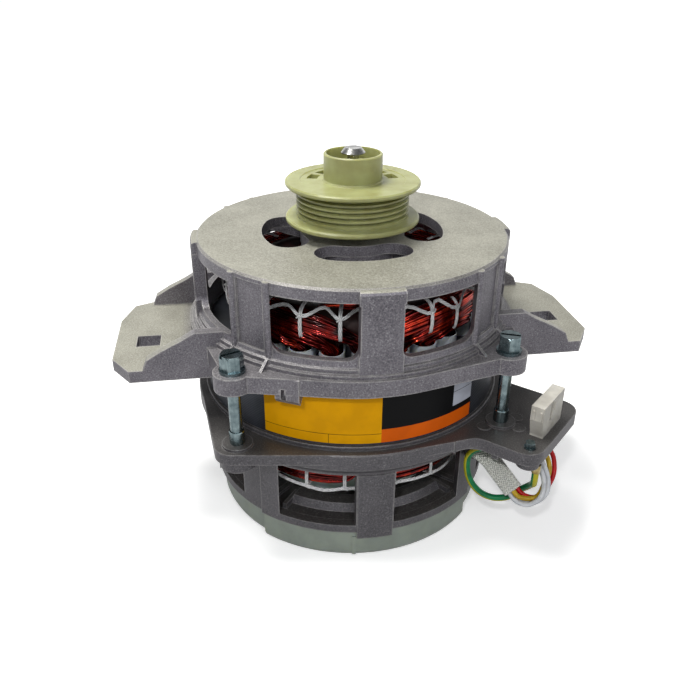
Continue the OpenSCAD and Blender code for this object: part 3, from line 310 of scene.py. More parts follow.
def wire_cover(name, base, deep, stripe=None, middle=None):
    """Extruded PVC wire cover: smooth, softly glossy, a little marked by handling. The earth wire's
    second colour runs along the outer side of its loop, away from the point called middle."""
    material, tree, shader, place = new_finish(name, Specular_IOR_Level=0.3)
    marks = put(tree, "ShaderNodeTexNoise", {"Vector": place, "Scale": cells(4.0), "Detail": 3.0})
    patch = put(tree, "ShaderNodeMapRange", {"Value": marks, "From Min": 0.3, "From Max": 0.6})
    skin = put(tree, "ShaderNodeMix", {"Factor": patch, "A": hue(deep), "B": hue(base)}, data_type="RGBA")
    if stripe:
        away = put(tree, "ShaderNodeVectorMath", {0: place, 1: middle}, operation="SUBTRACT")
        away = put(tree, "ShaderNodeVectorMath", {0: away}, operation="NORMALIZE")
        outwards = put(tree, "ShaderNodeTexCoord").outputs["Normal"]
        facing = put(tree, "ShaderNodeVectorMath", {0: away, 1: outwards}, operation="DOT_PRODUCT")
        band = put(tree, "ShaderNodeMapRange",
                   {"Value": facing.outputs["Value"], "From Min": 0.12, "From Max": 0.2})
        skin = put(tree, "ShaderNodeMix", {"Factor": band, "A": skin, "B": hue(stripe)}, data_type="RGBA")
    gloss = put(tree, "ShaderNodeMapRange", {"Value": marks, "To Min": 0.26, "To Max": 0.46})
    fine = put(tree, "ShaderNodeTexNoise", {"Vector": place, "Scale": cells(0.9), "Detail": 2.0})
    nicks = put(tree, "ShaderNodeBump", {"Height": fine, "Strength": 0.5, "Distance": 0.02 * MM})
    feed(tree, shader, {"Base Color": skin, "Roughness": gloss, "Normal": nicks})
    return material


# Fields over the sticker's ground: left and right in degrees from the front, low and high in mm, colour.
STICKER_GROUND = "#e6a400"
STICKER_FIELDS = (
    (1.2, 60.0, 60.0, 90.0, "#08080a"), (1.2, 60.0, 60.0, 70.6, "#e0620c"),
    (29.5, 60.0, 73.4, 90.0, "#b8bcc8"), (-60.0, 1.2, 68.4, 68.65, "#4a3804"),
    (-17.1, -16.9, 60.0, 68.4, "#4a3804"), (29.5, 60.0, 80.4, 80.65, "#3c3e44"),
)


def blank_sticker(name):
    """Vinyl sticker, laminated with a satin film, in plain colour fields parted by thin rules and faintly
    soiled in clouds. It reads as one smooth bright band on the dark stampings."""
    material, tree, shader, place = new_finish(name, Specular_IOR_Level=0.1)
    parts = put(tree, "ShaderNodeSeparateXYZ", {"Vector": place})
    front = put(tree, "ShaderNodeMath", {0: parts.outputs["Y"], 1: -1.0}, operation="MULTIPLY")
    angle = put(tree, "ShaderNodeMath", {0: parts.outputs["X"], 1: front}, operation="ARCTAN2")
    height = parts.outputs["Z"]
    skin = hue(STICKER_GROUND)
    for left, right, low, high, colour in STICKER_FIELDS:
        inside = None
        for source, edge, test in ((angle, math.radians(left), "GREATER_THAN"),
                                   (angle, math.radians(right), "LESS_THAN"),
                                   (height, low * MM, "GREATER_THAN"), (height, high * MM, "LESS_THAN")):
            mask = put(tree, "ShaderNodeMath", {0: source, 1: edge}, operation=test)
            if inside is not None:
                mask = put(tree, "ShaderNodeMath", {0: inside, 1: mask}, operation="MULTIPLY")
            inside = mask
        skin = put(tree, "ShaderNodeMix", {"Factor": inside, "A": skin, "B": hue(colour)}, data_type="RGBA")
    soil = put(tree, "ShaderNodeTexNoise", {"Vector": place, "Scale": cells(9.0), "Detail": 5.0})
    dirt = put(tree, "ShaderNodeMapRange", {"Value": soil, "From Min": 0.6, "From Max": 0.36, "To Max": 0.14})
    skin = put(tree, "ShaderNodeMix", {"Factor": dirt, "A": skin, "B": hue("#7a5c28")}, data_type="RGBA",
               blend_type="MULTIPLY")
    gloss = put(tree, "ShaderNodeMapRange", {"Value": soil, "To Min": 0.4, "To Max": 0.6})
    ripple = put(tree, "ShaderNodeBump", {"Height": soil, "Strength": 0.4, "Distance": 0.05 * MM})
    feed(tree, shader, {"Base Color": skin, "Roughness": gloss, "Normal": ripple})
    return material


EARTH_LOOP_MIDDLE = bracket_point((89.0, -6.0, 41.0)) * MM

# die-cast aluminium: the upper bell violet grey with a pale top of painted light, the lower one darker all
# over
upper_cast = die_cast("upper_die_casting", deep="#4d4a51", face="#87848a", top_deep="#7f7d72",
                      top_face="#b6b4a7", low_share=0.15, edge_wear_and_highlight="#b9b7b4", spark=0.2, sheen=0.42)
lower_cast = die_cast("lower_die_casting", deep="#403e42", face="#656367", top_deep="#3e3c3c",
                      top_face="#605e5c", low_share=1.0, edge_wear_and_highlight="#918f8f", spark=0.14, sheen=0.42)
# pure aluminium, cast into the rotor: lighter and brighter than the bells
cage_cast = die_cast("rotor_cage_casting", deep="#807f7c", face="#b2b1ad", top_deep="#8e8d88",
                     top_face="#aeada8", low_share=1.0, edge_wear_and_highlight="#dcdad4", spark=0.3, sheen=0.46)
# zinc plate, chromated: a cold blue-grey cast over a soft mirror
zinc = bright_metal("zinc_plated_steel", "#8a9a9d", "#56656a", 0.2, 0.9, lines=(1.0, 1.0, 0.05))
# ground steels: bright soft mirrors with fine rings
shaft_steel = bright_metal("ground_steel", "#d0d0ce", "#8a8a88", 0.2, 0.3)
race_steel = bright_metal("bearing_steel", "#c9ccd0", "#8f9296", 0.15, 0.3)
# tinned brass: pale gold, duller than the steels
tinned_brass = bright_metal("tinned_brass", "#cdbd8e", "#8f7c4c", 0.28, 0.5)
# varnished stampings: blue-grey on the stator, plain grey where the rotor was turned
core_sheets = stamped_sheets("stator_stampings", "#484c56", "#1e2126", 0.9)
rotor_sheets = stamped_sheets("rotor_stampings", "#6a6c70", "#3a3b3e", 0.7)
# red enamel over copper, each wire painted at random in a shaded, a body or a lit tone; and a near black
# fill inside each crown, painted shade that shows between the wires
copper = magnet_wire("enamelled_copper", "#260403", "#84100a", "#e8441c")
crown_shade_fill = moulded("painted_winding_shade", "#2a0705", "#120302", 0.55)
# polyester film, folded into cuffs: cold white, and a little light passes into it
slot_film = moulded("polyester_slot_film", "#e8eef1", "#cad2d6", 0.34, 0.2, 1.0)
# nylons: the pulley yellow-green with age, the fan and the cap milky, the connector ivory
pulley_nylon = moulded("aged_nylon_pulley", "#9c9f6e", "#8c8c5a", 0.32, 0.3, 5.0)
fan_nylon = moulded("nylon_fan", "#c4d4cc", "#a4b6ae", 0.4, 0.3, 3.0)
cap_nylon = moulded("nylon_end_cap", "#949d92", "#868f86", 0.42, 0.3, 6.0)
ivory_nylon = moulded("ivory_nylon", "#c8c5bc", "#a9a59c", 0.42, 0.05, 2.0)
# nitrile rubber: dull black
grommet_rubber = moulded("nitrile_rubber", "#3c3c3e", "#262628", 0.68)
# twisted polyester cord, and glass yarn braided over a coat: white and matt, with fine slanting shadows
lacing_cord = twisted_yarn("polyester_lacing_cord", "#f0f0ef", "#b4b6ba", 3, 2.6)
braid_yarn = twisted_yarn("braided_glass_yarn", "#f2f2ec", "#d0d1c9", 2, 1.5)
braid_core = moulded("sleeve_inner_coat", "#c6c8c2", "#b4b6af", 0.6)
# PVC covers, each in its wire's colour
earth_cover = wire_cover("earth_wire_cover", "#047846", "#035a34", "#b4ac20", EARTH_LOOP_MIDDLE)
white_cover = wire_cover("white_wire_cover", "#d6d8dc", "#b4b8bd")
red_cover = wire_cover("red_wire_cover", "#c01015", "#8c080c")
yellow_cover = wire_cover("yellow_wire_cover", "#c6a428", "#9c7d14")
sticker = blank_sticker("blank_sticker")

NODE_FINISHES = {
    "upper_housing": upper_cast, "lower_housing": lower_cast, "stator_core": core_sheets,
    "slot_liners": slot_film, "slot_conductors": copper, "blank_label": sticker,
    "rotor_core": rotor_sheets, "rotor_cage": cage_cast, "shaft": shaft_steel,
    "cooling_fan": fan_nylon, "pulley": pulley_nylon, "end_cap": cap_nylon,
    "connector_housing": ivory_nylon, "connector_terminals": tinned_brass, "earth_screw": zinc,
    "earth_terminal": tinned_brass, "outlet_grommet": grommet_rubber, "bolt_collars": zinc,
    "wave_washer": race_steel,
}


def dress_nodes():
    """Gives each CAD node that stays in view its finish."""
    for name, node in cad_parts.items():
        finish = NODE_FINISHES.get(name)
        if name.startswith("through_bolt"):
            finish = zinc
        if name.startswith("bearing"):
            finish = race_steel
        if finish:
            node.data.materials.clear()
            node.data.materials.append(finish)


dress_nodes()


# Recipes: geometry trees that turn centre lines into wire, cord or braid.
def new_recipe(name, **sizes):
    """A geometry tree with a Geometry input and output and named size inputs, and what its inputs give."""
    tree = bpy.data.node_groups.new(name, "GeometryNodeTree")
    tree.interface.new_socket("Geometry", in_out="INPUT", socket_type="NodeSocketGeometry")
    for label, kind in sizes.items():
        tree.interface.new_socket(label, in_out="INPUT", socket_type="NodeSocket" + kind)
    tree.interface.new_socket("Geometry", in_out="OUTPUT", socket_type="NodeSocketGeometry")
    return tree, put(tree, "NodeGroupInput").outputs


def close_recipe(tree, shape, finish):
    """Smooth, real and finished geometry at the recipe's end."""
    shape = put(tree, "GeometryNodeSetShadeSmooth", {"Geometry": shape})
    shape = put(tree, "GeometryNodeRealizeInstances", {"Geometry": shape})
    shape = put(tree, "GeometryNodeSetMaterial", {"Geometry": shape, "Material": finish})
    put(tree, "NodeGroupOutput", {"Geometry": shape})


def note_round(tree, ring):
    """Keeps each point's place in the wire's section, for the finishes that draw round it."""
    here = put(tree, "GeometryNodeInputPosition")
    return put(tree, "GeometryNodeStoreNamedAttribute", {"Geometry": ring, "Name": "round", "Value": here},
               data_type="FLOAT_VECTOR")


def wire_recipe():
    """Sweeps a round wire along every line and notes run, round and strand for the finishes."""
    tree, given = new_recipe("wire_along_lines", Thickness="Float", Sides="Int", Seed="Int",
                             Finish="Material")
    line = put(tree, "GeometryNodeMeshToCurve", {"Mesh": given["Geometry"]})
    run = put(tree, "GeometryNodeSplineParameter").outputs["Length"]
    line = put(tree, "GeometryNodeStoreNamedAttribute", {"Geometry": line, "Name": "run", "Value": run})
    which = put(tree, "GeometryNodeCurveOfPoint").outputs["Curve Index"]
    luck = put(tree, "FunctionNodeRandomValue", {"ID": which, "Seed": given["Seed"]}, data_type="FLOAT")
    line = put(tree, "GeometryNodeStoreNamedAttribute", {"Geometry": line, "Name": "strand", "Value": luck})
    half = put(tree, "ShaderNodeMath", {0: given["Thickness"], 1: 0.5}, operation="MULTIPLY")
    ring = put(tree, "GeometryNodeCurvePrimitiveCircle", {"Resolution": given["Sides"], "Radius": half})
    wire = put(tree, "GeometryNodeCurveToMesh",
               {"Curve": line, "Profile Curve": note_round(tree, ring), "Fill Caps": True})
    close_recipe(tree, wire, given["Finish"])
    return tree


# how finely the yarns are drawn along the line, in mm
BRAID_STEP = 0.45


def wound_yarns(tree, given, line, yarn_ring, way):
    """One set of yarns wound round the line, way 1 or -1 round it, each over one yarn and under the next."""
    copies = put(tree, "GeometryNodeDuplicateElements", {"Geometry": line, "Amount": given["Yarns"]},
                 domain="SPLINE")
    run = put(tree, "GeometryNodeSplineParameter").outputs["Length"]
    turns = put(tree, "ShaderNodeMath", {0: run, 1: given["Lay"]}, operation="DIVIDE")
    share = put(tree, "ShaderNodeMath", {0: copies.outputs["Duplicate Index"], 1: given["Yarns"]},
                operation="DIVIDE")
    place = put(tree, "ShaderNodeMath", {0: turns, 1: way, 2: share}, operation="MULTIPLY_ADD")
    angle = put(tree, "ShaderNodeMath", {0: place, 1: TURN}, operation="MULTIPLY")
    steps = put(tree, "ShaderNodeMath", {0: turns, 1: given["Yarns"]}, operation="MULTIPLY")
    steps = put(tree, "ShaderNodeMath", {0: steps, 1: TURN}, operation="MULTIPLY")
    swing = put(tree, "ShaderNodeMath", {0: steps}, operation="COSINE")
    lift = put(tree, "ShaderNodeMath", {0: given["Thickness"], 1: 0.5 * way}, operation="MULTIPLY")
    reach = put(tree, "ShaderNodeMath", {0: swing, 1: lift, 2: given["Radius"]}, operation="MULTIPLY_ADD")
    side = put(tree, "GeometryNodeInputNormal")
    tangent = put(tree, "GeometryNodeInputTangent")
    over = put(tree, "ShaderNodeVectorMath", {0: tangent, 1: side}, operation="CROSS_PRODUCT")
    sideways = put(tree, "ShaderNodeMath", {0: angle}, operation="COSINE")
    upwards = put(tree, "ShaderNodeMath", {0: angle}, operation="SINE")
    side = put(tree, "ShaderNodeVectorMath", {0: side, "Scale": sideways}, operation="SCALE")
    over = put(tree, "ShaderNodeVectorMath", {0: over, "Scale": upwards}, operation="SCALE")
    lean = put(tree, "ShaderNodeVectorMath", {0: side, 1: over}, operation="ADD")
    shift = put(tree, "ShaderNodeVectorMath", {0: lean, "Scale": reach}, operation="SCALE")
    yarn = put(tree, "GeometryNodeStoreNamedAttribute", {"Geometry": copies, "Name": "run", "Value": run})
    yarn = put(tree, "GeometryNodeStoreNamedAttribute", {"Geometry": yarn, "Name": "lean", "Value": lean},
               data_type="FLOAT_VECTOR")
    yarn = put(tree, "GeometryNodeSetPosition", {"Geometry": yarn, "Offset": shift})
    kept = put(tree, "GeometryNodeInputNamedAttribute", {"Name": "lean"}, data_type="FLOAT_VECTOR")
    yarn = put(tree, "GeometryNodeSetCurveNormal", {"Curve": yarn, "Normal": kept}, mode="FREE")
    return put(tree, "GeometryNodeCurveToMesh",
               {"Curve": yarn, "Profile Curve": yarn_ring, "Fill Caps": True})


def braid_recipe():
    """Winds two crossing sets of flat yarns round a centre line."""
    tree, given = new_recipe("braid_round_a_line", Radius="Float", Yarns="Int", Lay="Float", Width="Float",
                             Thickness="Float", Finish="Material")
    line = put(tree, "GeometryNodeMeshToCurve", {"Mesh": given["Geometry"]})
    line = put(tree, "GeometryNodeResampleCurve", {"Curve": line, "Length": BRAID_STEP * MM}, mode="LENGTH")
    flat = put(tree, "GeometryNodeCurvePrimitiveCircle", {"Resolution": 6, "Radius": 0.5})
    shape = put(tree, "ShaderNodeCombineXYZ", {"X": given["Width"], "Y": given["Thickness"], "Z": 1.0})
    yarn_ring = note_round(tree, put(tree, "GeometryNodeTransform", {"Geometry": flat, "Scale": shape}))
    left, right = [wound_yarns(tree, given, line, yarn_ring, way) for way in (-1.0, 1.0)]
    both = put(tree, "GeometryNodeJoinGeometry", {"Geometry": left})
    feed(tree, both, {"Geometry": right})
    close_recipe(tree, both, given["Finish"])
    return tree


def new_piece(name, data):
    """Puts a mesh or a lamp in the scene."""
    piece = bpy.data.objects.new(name, data)
    bpy.context.scene.collection.objects.link(piece)
    return piece


def grow(name, recipe, routes, **sizes):
    """One plain mesh from the recipe, with its centre lines in millimetres."""
    points, edges = [], []
    for route in routes:
        first = len(points)
        points += [tuple(p * MM) for p in route]
        edges += [(first + i, first + i + 1) for i in range(len(route) - 1)]
    lines = bpy.data.meshes.new(name + "_lines")
    lines.from_pydata(points, edges, [])
    draft = new_piece(name + "_lines", lines)
    modifier = draft.modifiers.new("recipe", "NODES")
    modifier.node_group = recipe
    for item in recipe.interface.items_tree:
        if item.in_out == "INPUT" and item.name in sizes:
            modifier[item.identifier] = sizes[item.name]
    grown = draft.evaluated_get(bpy.context.evaluated_depsgraph_get())
    mesh = bpy.data.meshes.new_from_object(grown)
    bpy.data.objects.remove(draft)
    mesh.name = name
    return new_piece(name, mesh)


WIRE = wire_recipe()
BRAID = braid_recipe()


def lathe(name, profile, steps, finish):
    """Closed profile of (radius, height) in millimetres, turned about the motor axis."""
    n = len(profile)
    points = [tuple(motor_point(360.0 * i / steps, r, z) * MM) for i in range(steps) for r, z in profile]
    faces = []
    for i in range(steps):
        j = (i + 1) % steps
        faces += [(i * n + k, j * n + k, j * n + (k + 1) % n, i * n + (k + 1) % n) for k in range(n)]
    mesh = bpy.data.meshes.new(name)
    mesh.from_pydata(points, [], faces)
    mesh.materials.append(finish)
    mesh.shade_smooth()
    return new_piece(name, mesh)


# The sleeve leaves the bell level and bends down; its mouth is where the leads come out.
# Both angles are from the front, towards the right ear.
BRACKET_ANGLE = 45.0
OUTLET_ANGLE = 36.0
SLEEVE_BEND = math.radians(36.0)
SLEEVE_START = Vector((62.0, -0.5, 44.0))
SLEEVE_LEVEL, SLEEVE_RADIUS, SLEEVE_FALL = 12.0, 16.0, 15.0
outlet_turn = math.radians(OUTLET_ANGLE - BRACKET_ANGLE)
out_way = Vector((math.cos(outlet_turn), math.sin(outlet_turn), 0.0))
down_way = out_way * math.cos(SLEEVE_BEND) - UP * math.sin(SLEEVE_BEND)
mouth_over = out_way * math.sin(SLEEVE_BEND) + UP * math.cos(SLEEVE_BEND)
mouth_side = Vector((-out_way.y, out_way.x, 0.0))
bend_start = SLEEVE_START + out_way * SLEEVE_LEVEL


def on_bend(a):
    """The sleeve's middle after it has turned down by the angle a."""
    return bend_start + out_way * SLEEVE_RADIUS * math.sin(a) - UP * SLEEVE_RADIUS * (1.0 - math.cos(a))


mouth = on_bend(SLEEVE_BEND) + down_way * SLEEVE_FALL


def at_mouth(side, over, ahead):
    """A place by the sleeve's mouth, in its own directions."""
    return mouth + mouth_side * side + mouth_over * over + down_way * ahead


# The connector's underside, where the wires go in: how far out, the first way, their pitch, the height.
PIN_OUT, FIRST_PIN, PIN_PITCH, PIN_HEIGHT = 100.3, 0.6, 4.84, 53.0


def at_pin(way, under):
    """A place under one of the connector's ways."""
    return Vector((PIN_OUT, FIRST_PIN + PIN_PITCH * way, PIN_HEIGHT - under))


# name: cover, slot, thickness in mm, stops in the bracket's own directions
LEADS = {
    "lead_white_a": (white_cover, "wire_white", 2.2, [
        at_mouth(-1.5, -1.4, 0), at_mouth(-1.5, -1.4, 3.9), (103.5, -7.1, 28.8), (107.5, -3.9, 33.1),
        (106.8, -0.2, 38.2), (104.1, 1.3, 43.0), at_pin(0, 4.1), at_pin(0, 0)]),
    "lead_white_b": (white_cover, "wire_white", 2.2, [
        at_mouth(1.5, -1.4, 0), at_mouth(1.5, -1.4, 4.0), (104.0, -3.5, 27.7), (108.4, 0.7, 32.7),
        (106.4, 4.4, 39.2), (103.3, 5.6, 43.7), at_pin(1, 4.2), at_pin(1, 0)]),
    "lead_yellow": (yellow_cover, "wire_yellow", 2.2, [
        at_mouth(-1.5, 1.5, 0), at_mouth(-1.5, 1.5, 2.5), (105.2, -2.8, 31.4), (105.8, 4.0, 35.4),
        (105.6, 8.7, 39.3), (103.5, 10.6, 43.3), at_pin(2, 4.2), at_pin(2, 0)]),
    "lead_red": (red_cover, "wire_red", 2.2, [
        at_mouth(1.5, 1.5, 0), at_mouth(1.5, 1.5, 2.7), (104.4, -0.5, 29.3), (106.4, 6.8, 31.1),
        (106.5, 12.9, 35.5), (104.2, 15.9, 41.7), at_pin(3, 4.2), at_pin(3, 0)]),
    "earth_wire": (earth_cover, "wire_green", 3.1, [
        (85.5, -10.0, 52.0), (81.1, -10.0, 52.0), (73.7, -10.1, 44.5), (74.0, -10.7, 36.9),
        (76.6, -10.4, 30.8), (81.2, -8.5, 25.7), (86.5, -5.4, 23.5), (91.8, -1.9, 24.4),
        (96.6, 0.8, 29.3), (101.1, -1.3, 35.1), (105.0, -8.6, 44.4), (105.0, -8.6, 48.7)]),
}


def run_leads():
    """Every lead follows the same route as its solid."""
    for name, (cover, slot, thick, stops) in LEADS.items():
        route = [bracket_point(p) for p in smooth_route([Vector(p) for p in stops], 6)]
        piece = grow(name + "_cord", WIRE, [route], Thickness=thick * MM, Sides=16, Seed=1, Finish=cover)
        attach(piece, "stator")
        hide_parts(name)


run_leads()


def braid_sleeve():
    """Braided sleeve over a plain inner coat."""
    route = [SLEEVE_START + out_way * SLEEVE_LEVEL * k / 6 for k in range(6)]
    route += [on_bend(SLEEVE_BEND * k / 12) for k in range(12)]
    route += [on_bend(SLEEVE_BEND) + down_way * SLEEVE_FALL * k / 7 for k in range(8)]
    route = [bracket_point(p) for p in route]
    yarns = grow("braided_sleeve", BRAID, [route], Radius=3.9 * MM, Yarns=18, Lay=21.0 * MM,
                 Width=0.98 * MM, Thickness=0.32 * MM, Finish=braid_yarn)
    coat = grow("sleeve_inner_coat", WIRE, [route], Thickness=7.3 * MM, Sides=20, Seed=1, Finish=braid_core)
    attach(yarns, "stator")
    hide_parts("lead_sleeve")
    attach(coat, "stator")


braid_sleeve()


# Windings: four pole groups outside and four inside, each of three nested coils. Millimetres, degrees.
POLES = 4
POLE_TURN = 360.0 / POLES
FIRST_POLE = -3.3
SLOT_STEP = 15.0
WIRE_MM = 1.14
LANE_PITCH, ROW_PITCH = 0.93, 0.86
OUTER_LAY, INNER_LAY = 59.4, 43.2
OUTER_SLOT, INNER_SLOT = 56.2, 47.0
HEART_INNER, HEART_OUTER = 44.0, 54.6
# heights, the lower crown's as if it was turned over to stand like the upper one
CORE_MIDDLE = 74.75
CROWN_FOOT = 98.9
UPPER_TOP, LOWER_TOP = 119.5, 118.0
# a nested coil's top as a share of the crown's height, and how far each next one lies lower
TOP_SHARE, NEST_DROP = 0.975, 0.27
# outer ring or not, lanes side by side, rows one under the other in the widest coil and the next two
COIL_RINGS = ((True, 4, (9, 8, 5)), (False, 2, (6, 6, 5)))
# a wire's place in its slot: how deep at most, how far to a side at most, how far below the crown's foot
SLOT_DEPTH, SLOT_HALF, SLOT_START = 6.0, 3.4, 1.6
# how low over the crown's foot a wire may cross, and how far a coil may sit off its pole's middle
LOWEST_LAY, COIL_PLAY = 4.5, 0.6
# how a wire wanders on its way over: in mm, and how fast
WANDER_OUT, WANDER_UP = (0.28, 9.0), (0.3, 8.0)


def arch(s, power):
    """Rises from 0 to 1 at the middle of s and falls again, the steeper the higher the power."""
    return 1.0 - abs(2.0 * s - 1.0) ** power


def eased(value, start, end):
    """0 before start, 1 after end, and a soft step between."""
    t = min(1.0, max(0.0, (value - start) / (end - start)))
    return t * t * (3.0 - 2.0 * t)


def upright(z):
    """The upper crown stands as its heights say."""
    return z


def upside_down(z):
    """The lower crown is the upper one turned over about the core's middle."""
    return 2.0 * CORE_MIDDLE - z


def coil_strand(luck, start, end, low, from_slot, lay, fullness, flip, rings):
    """One wire, up out of the slot at angle start, over, and down into the slot at angle end."""
    (r_slot, t_slot), (r_lay, z_lay) = from_slot, lay
    wave = [luck.uniform(0.0, TURN) for _ in range(2)]
    route = []
    for i in range(rings + 1):
        s = i / rings
        lift = arch(s, fullness)
        out = eased(lift, 0.2, 0.75)
        along = s - 0.1 * math.sin(TURN * s)
        sway = math.degrees(t_slot / r_slot) * (1.0 - out) * (1 if s < 0.5 else -1)
        a = start + (end - start) * along + sway
        r = r_slot + (r_lay - r_slot) * out + WANDER_OUT[0] * out * math.sin(WANDER_OUT[1] * s + wave[0])
        z = low + (z_lay - low) * lift + WANDER_UP[0] * math.sin(WANDER_UP[1] * s + wave[1])
        route.append(motor_point(a, r, flip(z)))
    return route


def lay_radius(luck, outer, nest, lane, row):
    """Outer coils fill inwards from their radius, the widest with a rounded top; inner ones spread out."""
    if not outer:
        return INNER_LAY + lane * WIRE_MM + luck.uniform(0.0, 5.0)
    rounding = max(0.0, 2.4 - row * 0.8) if nest == 0 else 0.0
    return OUTER_LAY - lane * WIRE_MM * LANE_PITCH - rounding


def crown_strands(luck, flip, low, high, fullness):
    """Every wire of a crown, ring by ring, pole by pole and coil by coil."""
    strands = []
    for outer, lanes, nests in COIL_RINGS:
        for pole, (nest, rows) in product(range(POLES), enumerate(nests)):
            middle = FIRST_POLE + POLE_TURN * pole + (0.5 * POLE_TURN if outer else 0.0)
            reach = 0.5 * POLE_TURN - SLOT_STEP * nest
            top = low + (high - low) * (TOP_SHARE - NEST_DROP * nest)
            for lane, row in product(range(lanes), range(rows)):
                r_lay = lay_radius(luck, outer, nest, lane, row)
                z_lay = top - WIRE_MM * (0.5 + ROW_PITCH * row) + luck.uniform(-0.25, 0.25)
                r_slot = (OUTER_SLOT if outer else INNER_SLOT) - luck.uniform(0.0, SLOT_DEPTH)
                t_slot = luck.uniform(-SLOT_HALF, SLOT_HALF)
                turn = luck.uniform(-COIL_PLAY, COIL_PLAY)
                strands.append(coil_strand(
                    luck, middle - reach + turn, middle + reach + turn, low - SLOT_START, (r_slot, t_slot),
                    (r_lay, max(z_lay, low + LOWEST_LAY)), fullness, flip, 12 + 6 * (3 - nest)))
    return strands


def crown_heart(name, flip, low, high):
    """A near black shell in the middle of a crown, painted shade for the packed wires behind; it shows only
    between its wires.
    """
    profile = [(HEART_INNER, low + 3.0), (HEART_OUTER - 2.0, low + 3.0), (HEART_OUTER, low + 7.0),
               (HEART_OUTER, high - 6.5), (HEART_OUTER - 4.0, high - 2.8), (HEART_INNER + 3.0, high - 2.8),
               (HEART_INNER, high - 6.0)]
    profile = [(r, flip(z)) for r, z in profile]
    # the profile runs one way round in both crowns, so that faces point outwards
    if flip(1.0) > flip(0.0):
        profile.reverse()
    return lathe(name, profile, 72, crown_shade_fill)


def wind_crown(name, replaced, flip, low, high, fullness, seed):
    """A crown's wires and the heart between them."""
    heart = crown_heart(name + "_heart", flip, low, high)
    strands = crown_strands(random.Random(seed), flip, low, high, fullness)
    turns = grow(name, WIRE, strands, Thickness=WIRE_MM * MM, Sides=5, Seed=seed, Finish=copper)
    for piece in (heart, turns):
        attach(piece, "stator")
    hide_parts(*replaced)


wind_crown("upper_end_turns", ("crown_upper", "crown_upper_turns"), upright, CROWN_FOOT, UPPER_TOP,
           fullness=2.0, seed=11)
wind_crown("lower_end_turns", ("crown_lower",), upside_down, CROWN_FOOT, LOWER_TOP, fullness=6.0, seed=23)


# Lacing, tied by hand, so uneven at the front: (angle, radius, height) of knots and of the peaks between.
UPPER_LACING = [
    ("knot", -46.0, 60.4, 116.2), ("peak", -35.6, 58.6, 119.8), ("knot", -29.8, 60.4, 116.7),
    ("peak", -20.4, 56.8, 120.3), ("knot", -13.8, 60.4, 117.0), ("peak", -7.0, 57.2, 120.2),
    ("knot", 4.5, 60.4, 116.6), ("peak", 13.4, 57.8, 119.9), ("knot", 24.0, 60.4, 116.3),
    ("peak", 26.0, 58.8, 119.9), ("knot", 38.6, 60.4, 113.9), ("peak", 47.6, 58.8, 119.5),
]
# The lower crown's, as heights of the same crown turned over: there the cord sags between the ties.
LOWER_LACING = [
    ("knot", -46.0, 60.2, 116.6), ("peak", -37.0, 60.6, 117.4), ("knot", -28.4, 60.8, 118.0),
    ("peak", -20.6, 60.4, 119.0), ("knot", -11.6, 60.8, 116.8), ("peak", 2.0, 60.2, 117.2),
    ("knot", 10.0, 60.8, 115.8), ("peak", 20.0, 60.8, 116.8), ("knot", 29.0, 60.8, 117.6),
    ("peak", 38.0, 60.4, 118.6), ("knot", 47.6, 60.2, 117.0),
]
# The cord lies double, its two runs so far from their middle, and beds a little into the wires.
LACING_MM, DOUBLED, BEDDED = 0.88, (-0.4, 0.4), 0.12
# round the sides and the back: how many even knots, and the angle of the first
EVEN_KNOTS, EVEN_FROM = 17, 56.0
KNOT_RADIUS, TIE_RADIUS, UNROLLED_AT = 60.4, 60.0, 58.0


def lacing_stops(front, high, peak_r):
    """The front's knots and peaks, then even ones round the sides and the back."""
    stops = list(front)
    pitch = (360.0 + front[0][1] - EVEN_FROM) / EVEN_KNOTS
    for k in range(EVEN_KNOTS):
        at = EVEN_FROM + pitch * k
        stops.append(("knot", at, KNOT_RADIUS, high - 3.2))
        stops.append(("peak", at + pitch * 0.6, peak_r, high + 0.6))
    return stops


def cord_round(stops, flip):
    """Doubled cord once round the crown's outer edge, drawn smooth on the unrolled edge."""
    kind, angle, radius, height = stops[0]
    closed = stops + [(kind, angle + 360.0, radius, height)]
    ring = smooth_route([Vector((math.radians(a) * UNROLLED_AT, r, z)) for _, a, r, z in closed], 4)
    return [[motor_point(math.degrees(p.x / UNROLLED_AT), p.y - BEDDED, flip(p.z + shift)) for p in ring]
            for shift in DOUBLED]


def tie_down(a, z, high, flip):
    """Doubled cord from under a knot up between the coils and over the crown, and a wrap across the knot."""
    drop = [(57.4, z - 10.8), (59.4, z - 10.0), (60.3, z - 7.4), (60.5, z - 2.4), (60.2, z + 0.4),
            (58.4, min(z + 3.2, high + 0.2)), (54.0, min(z + 4.3, high + 1.3)),
            (47.0, min(z + 4.1, high + 1.1))]
    routes = []
    for shift in DOUBLED:
        side = a + math.degrees(shift / TIE_RADIUS)
        path = smooth_route([Vector((side, r, h)) for r, h in drop], 3)
        routes.append([motor_point(p.x, p.y, flip(p.z)) for p in path])
    wrap = [(a - 1.3, 60.6, z - 0.8), (a - 0.4, 61.0, z - 0.1), (a + 0.6, 60.9, z + 0.5),
            (a + 1.3, 60.4, z + 1.1)]
    routes.append(smooth_route([motor_point(b, r, flip(h)) for b, r, h in wrap], 3))
    return routes


def lace_crown(name, node, flip, front, high, peak_r):
    """The cord round the crown and a tie at every knot."""
    stops = lacing_stops(front, high, peak_r)
    routes = cord_round(stops, flip)
    for kind, a, _, z in stops:
        if kind == "knot":
            routes += tie_down(a, z, high, flip)
    piece = grow(name, WIRE, routes, Thickness=LACING_MM * MM, Sides=7, Seed=1, Finish=lacing_cord)
    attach(piece, "stator")
    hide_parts(node)


lace_crown("upper_lacing_cord", "lacing_upper", upright, UPPER_LACING, UPPER_TOP, peak_r=57.6)
lace_crown("lower_lacing_cord", "lacing_lower", upside_down, LOWER_LACING, LOWER_TOP, peak_r=59.6)


# Stage, in metres: the floor's half side, and where its own white begins and is full.
FLOOR_HALF = 6.0
WHITE_FROM, WHITE_FULL = 0.22, 0.9


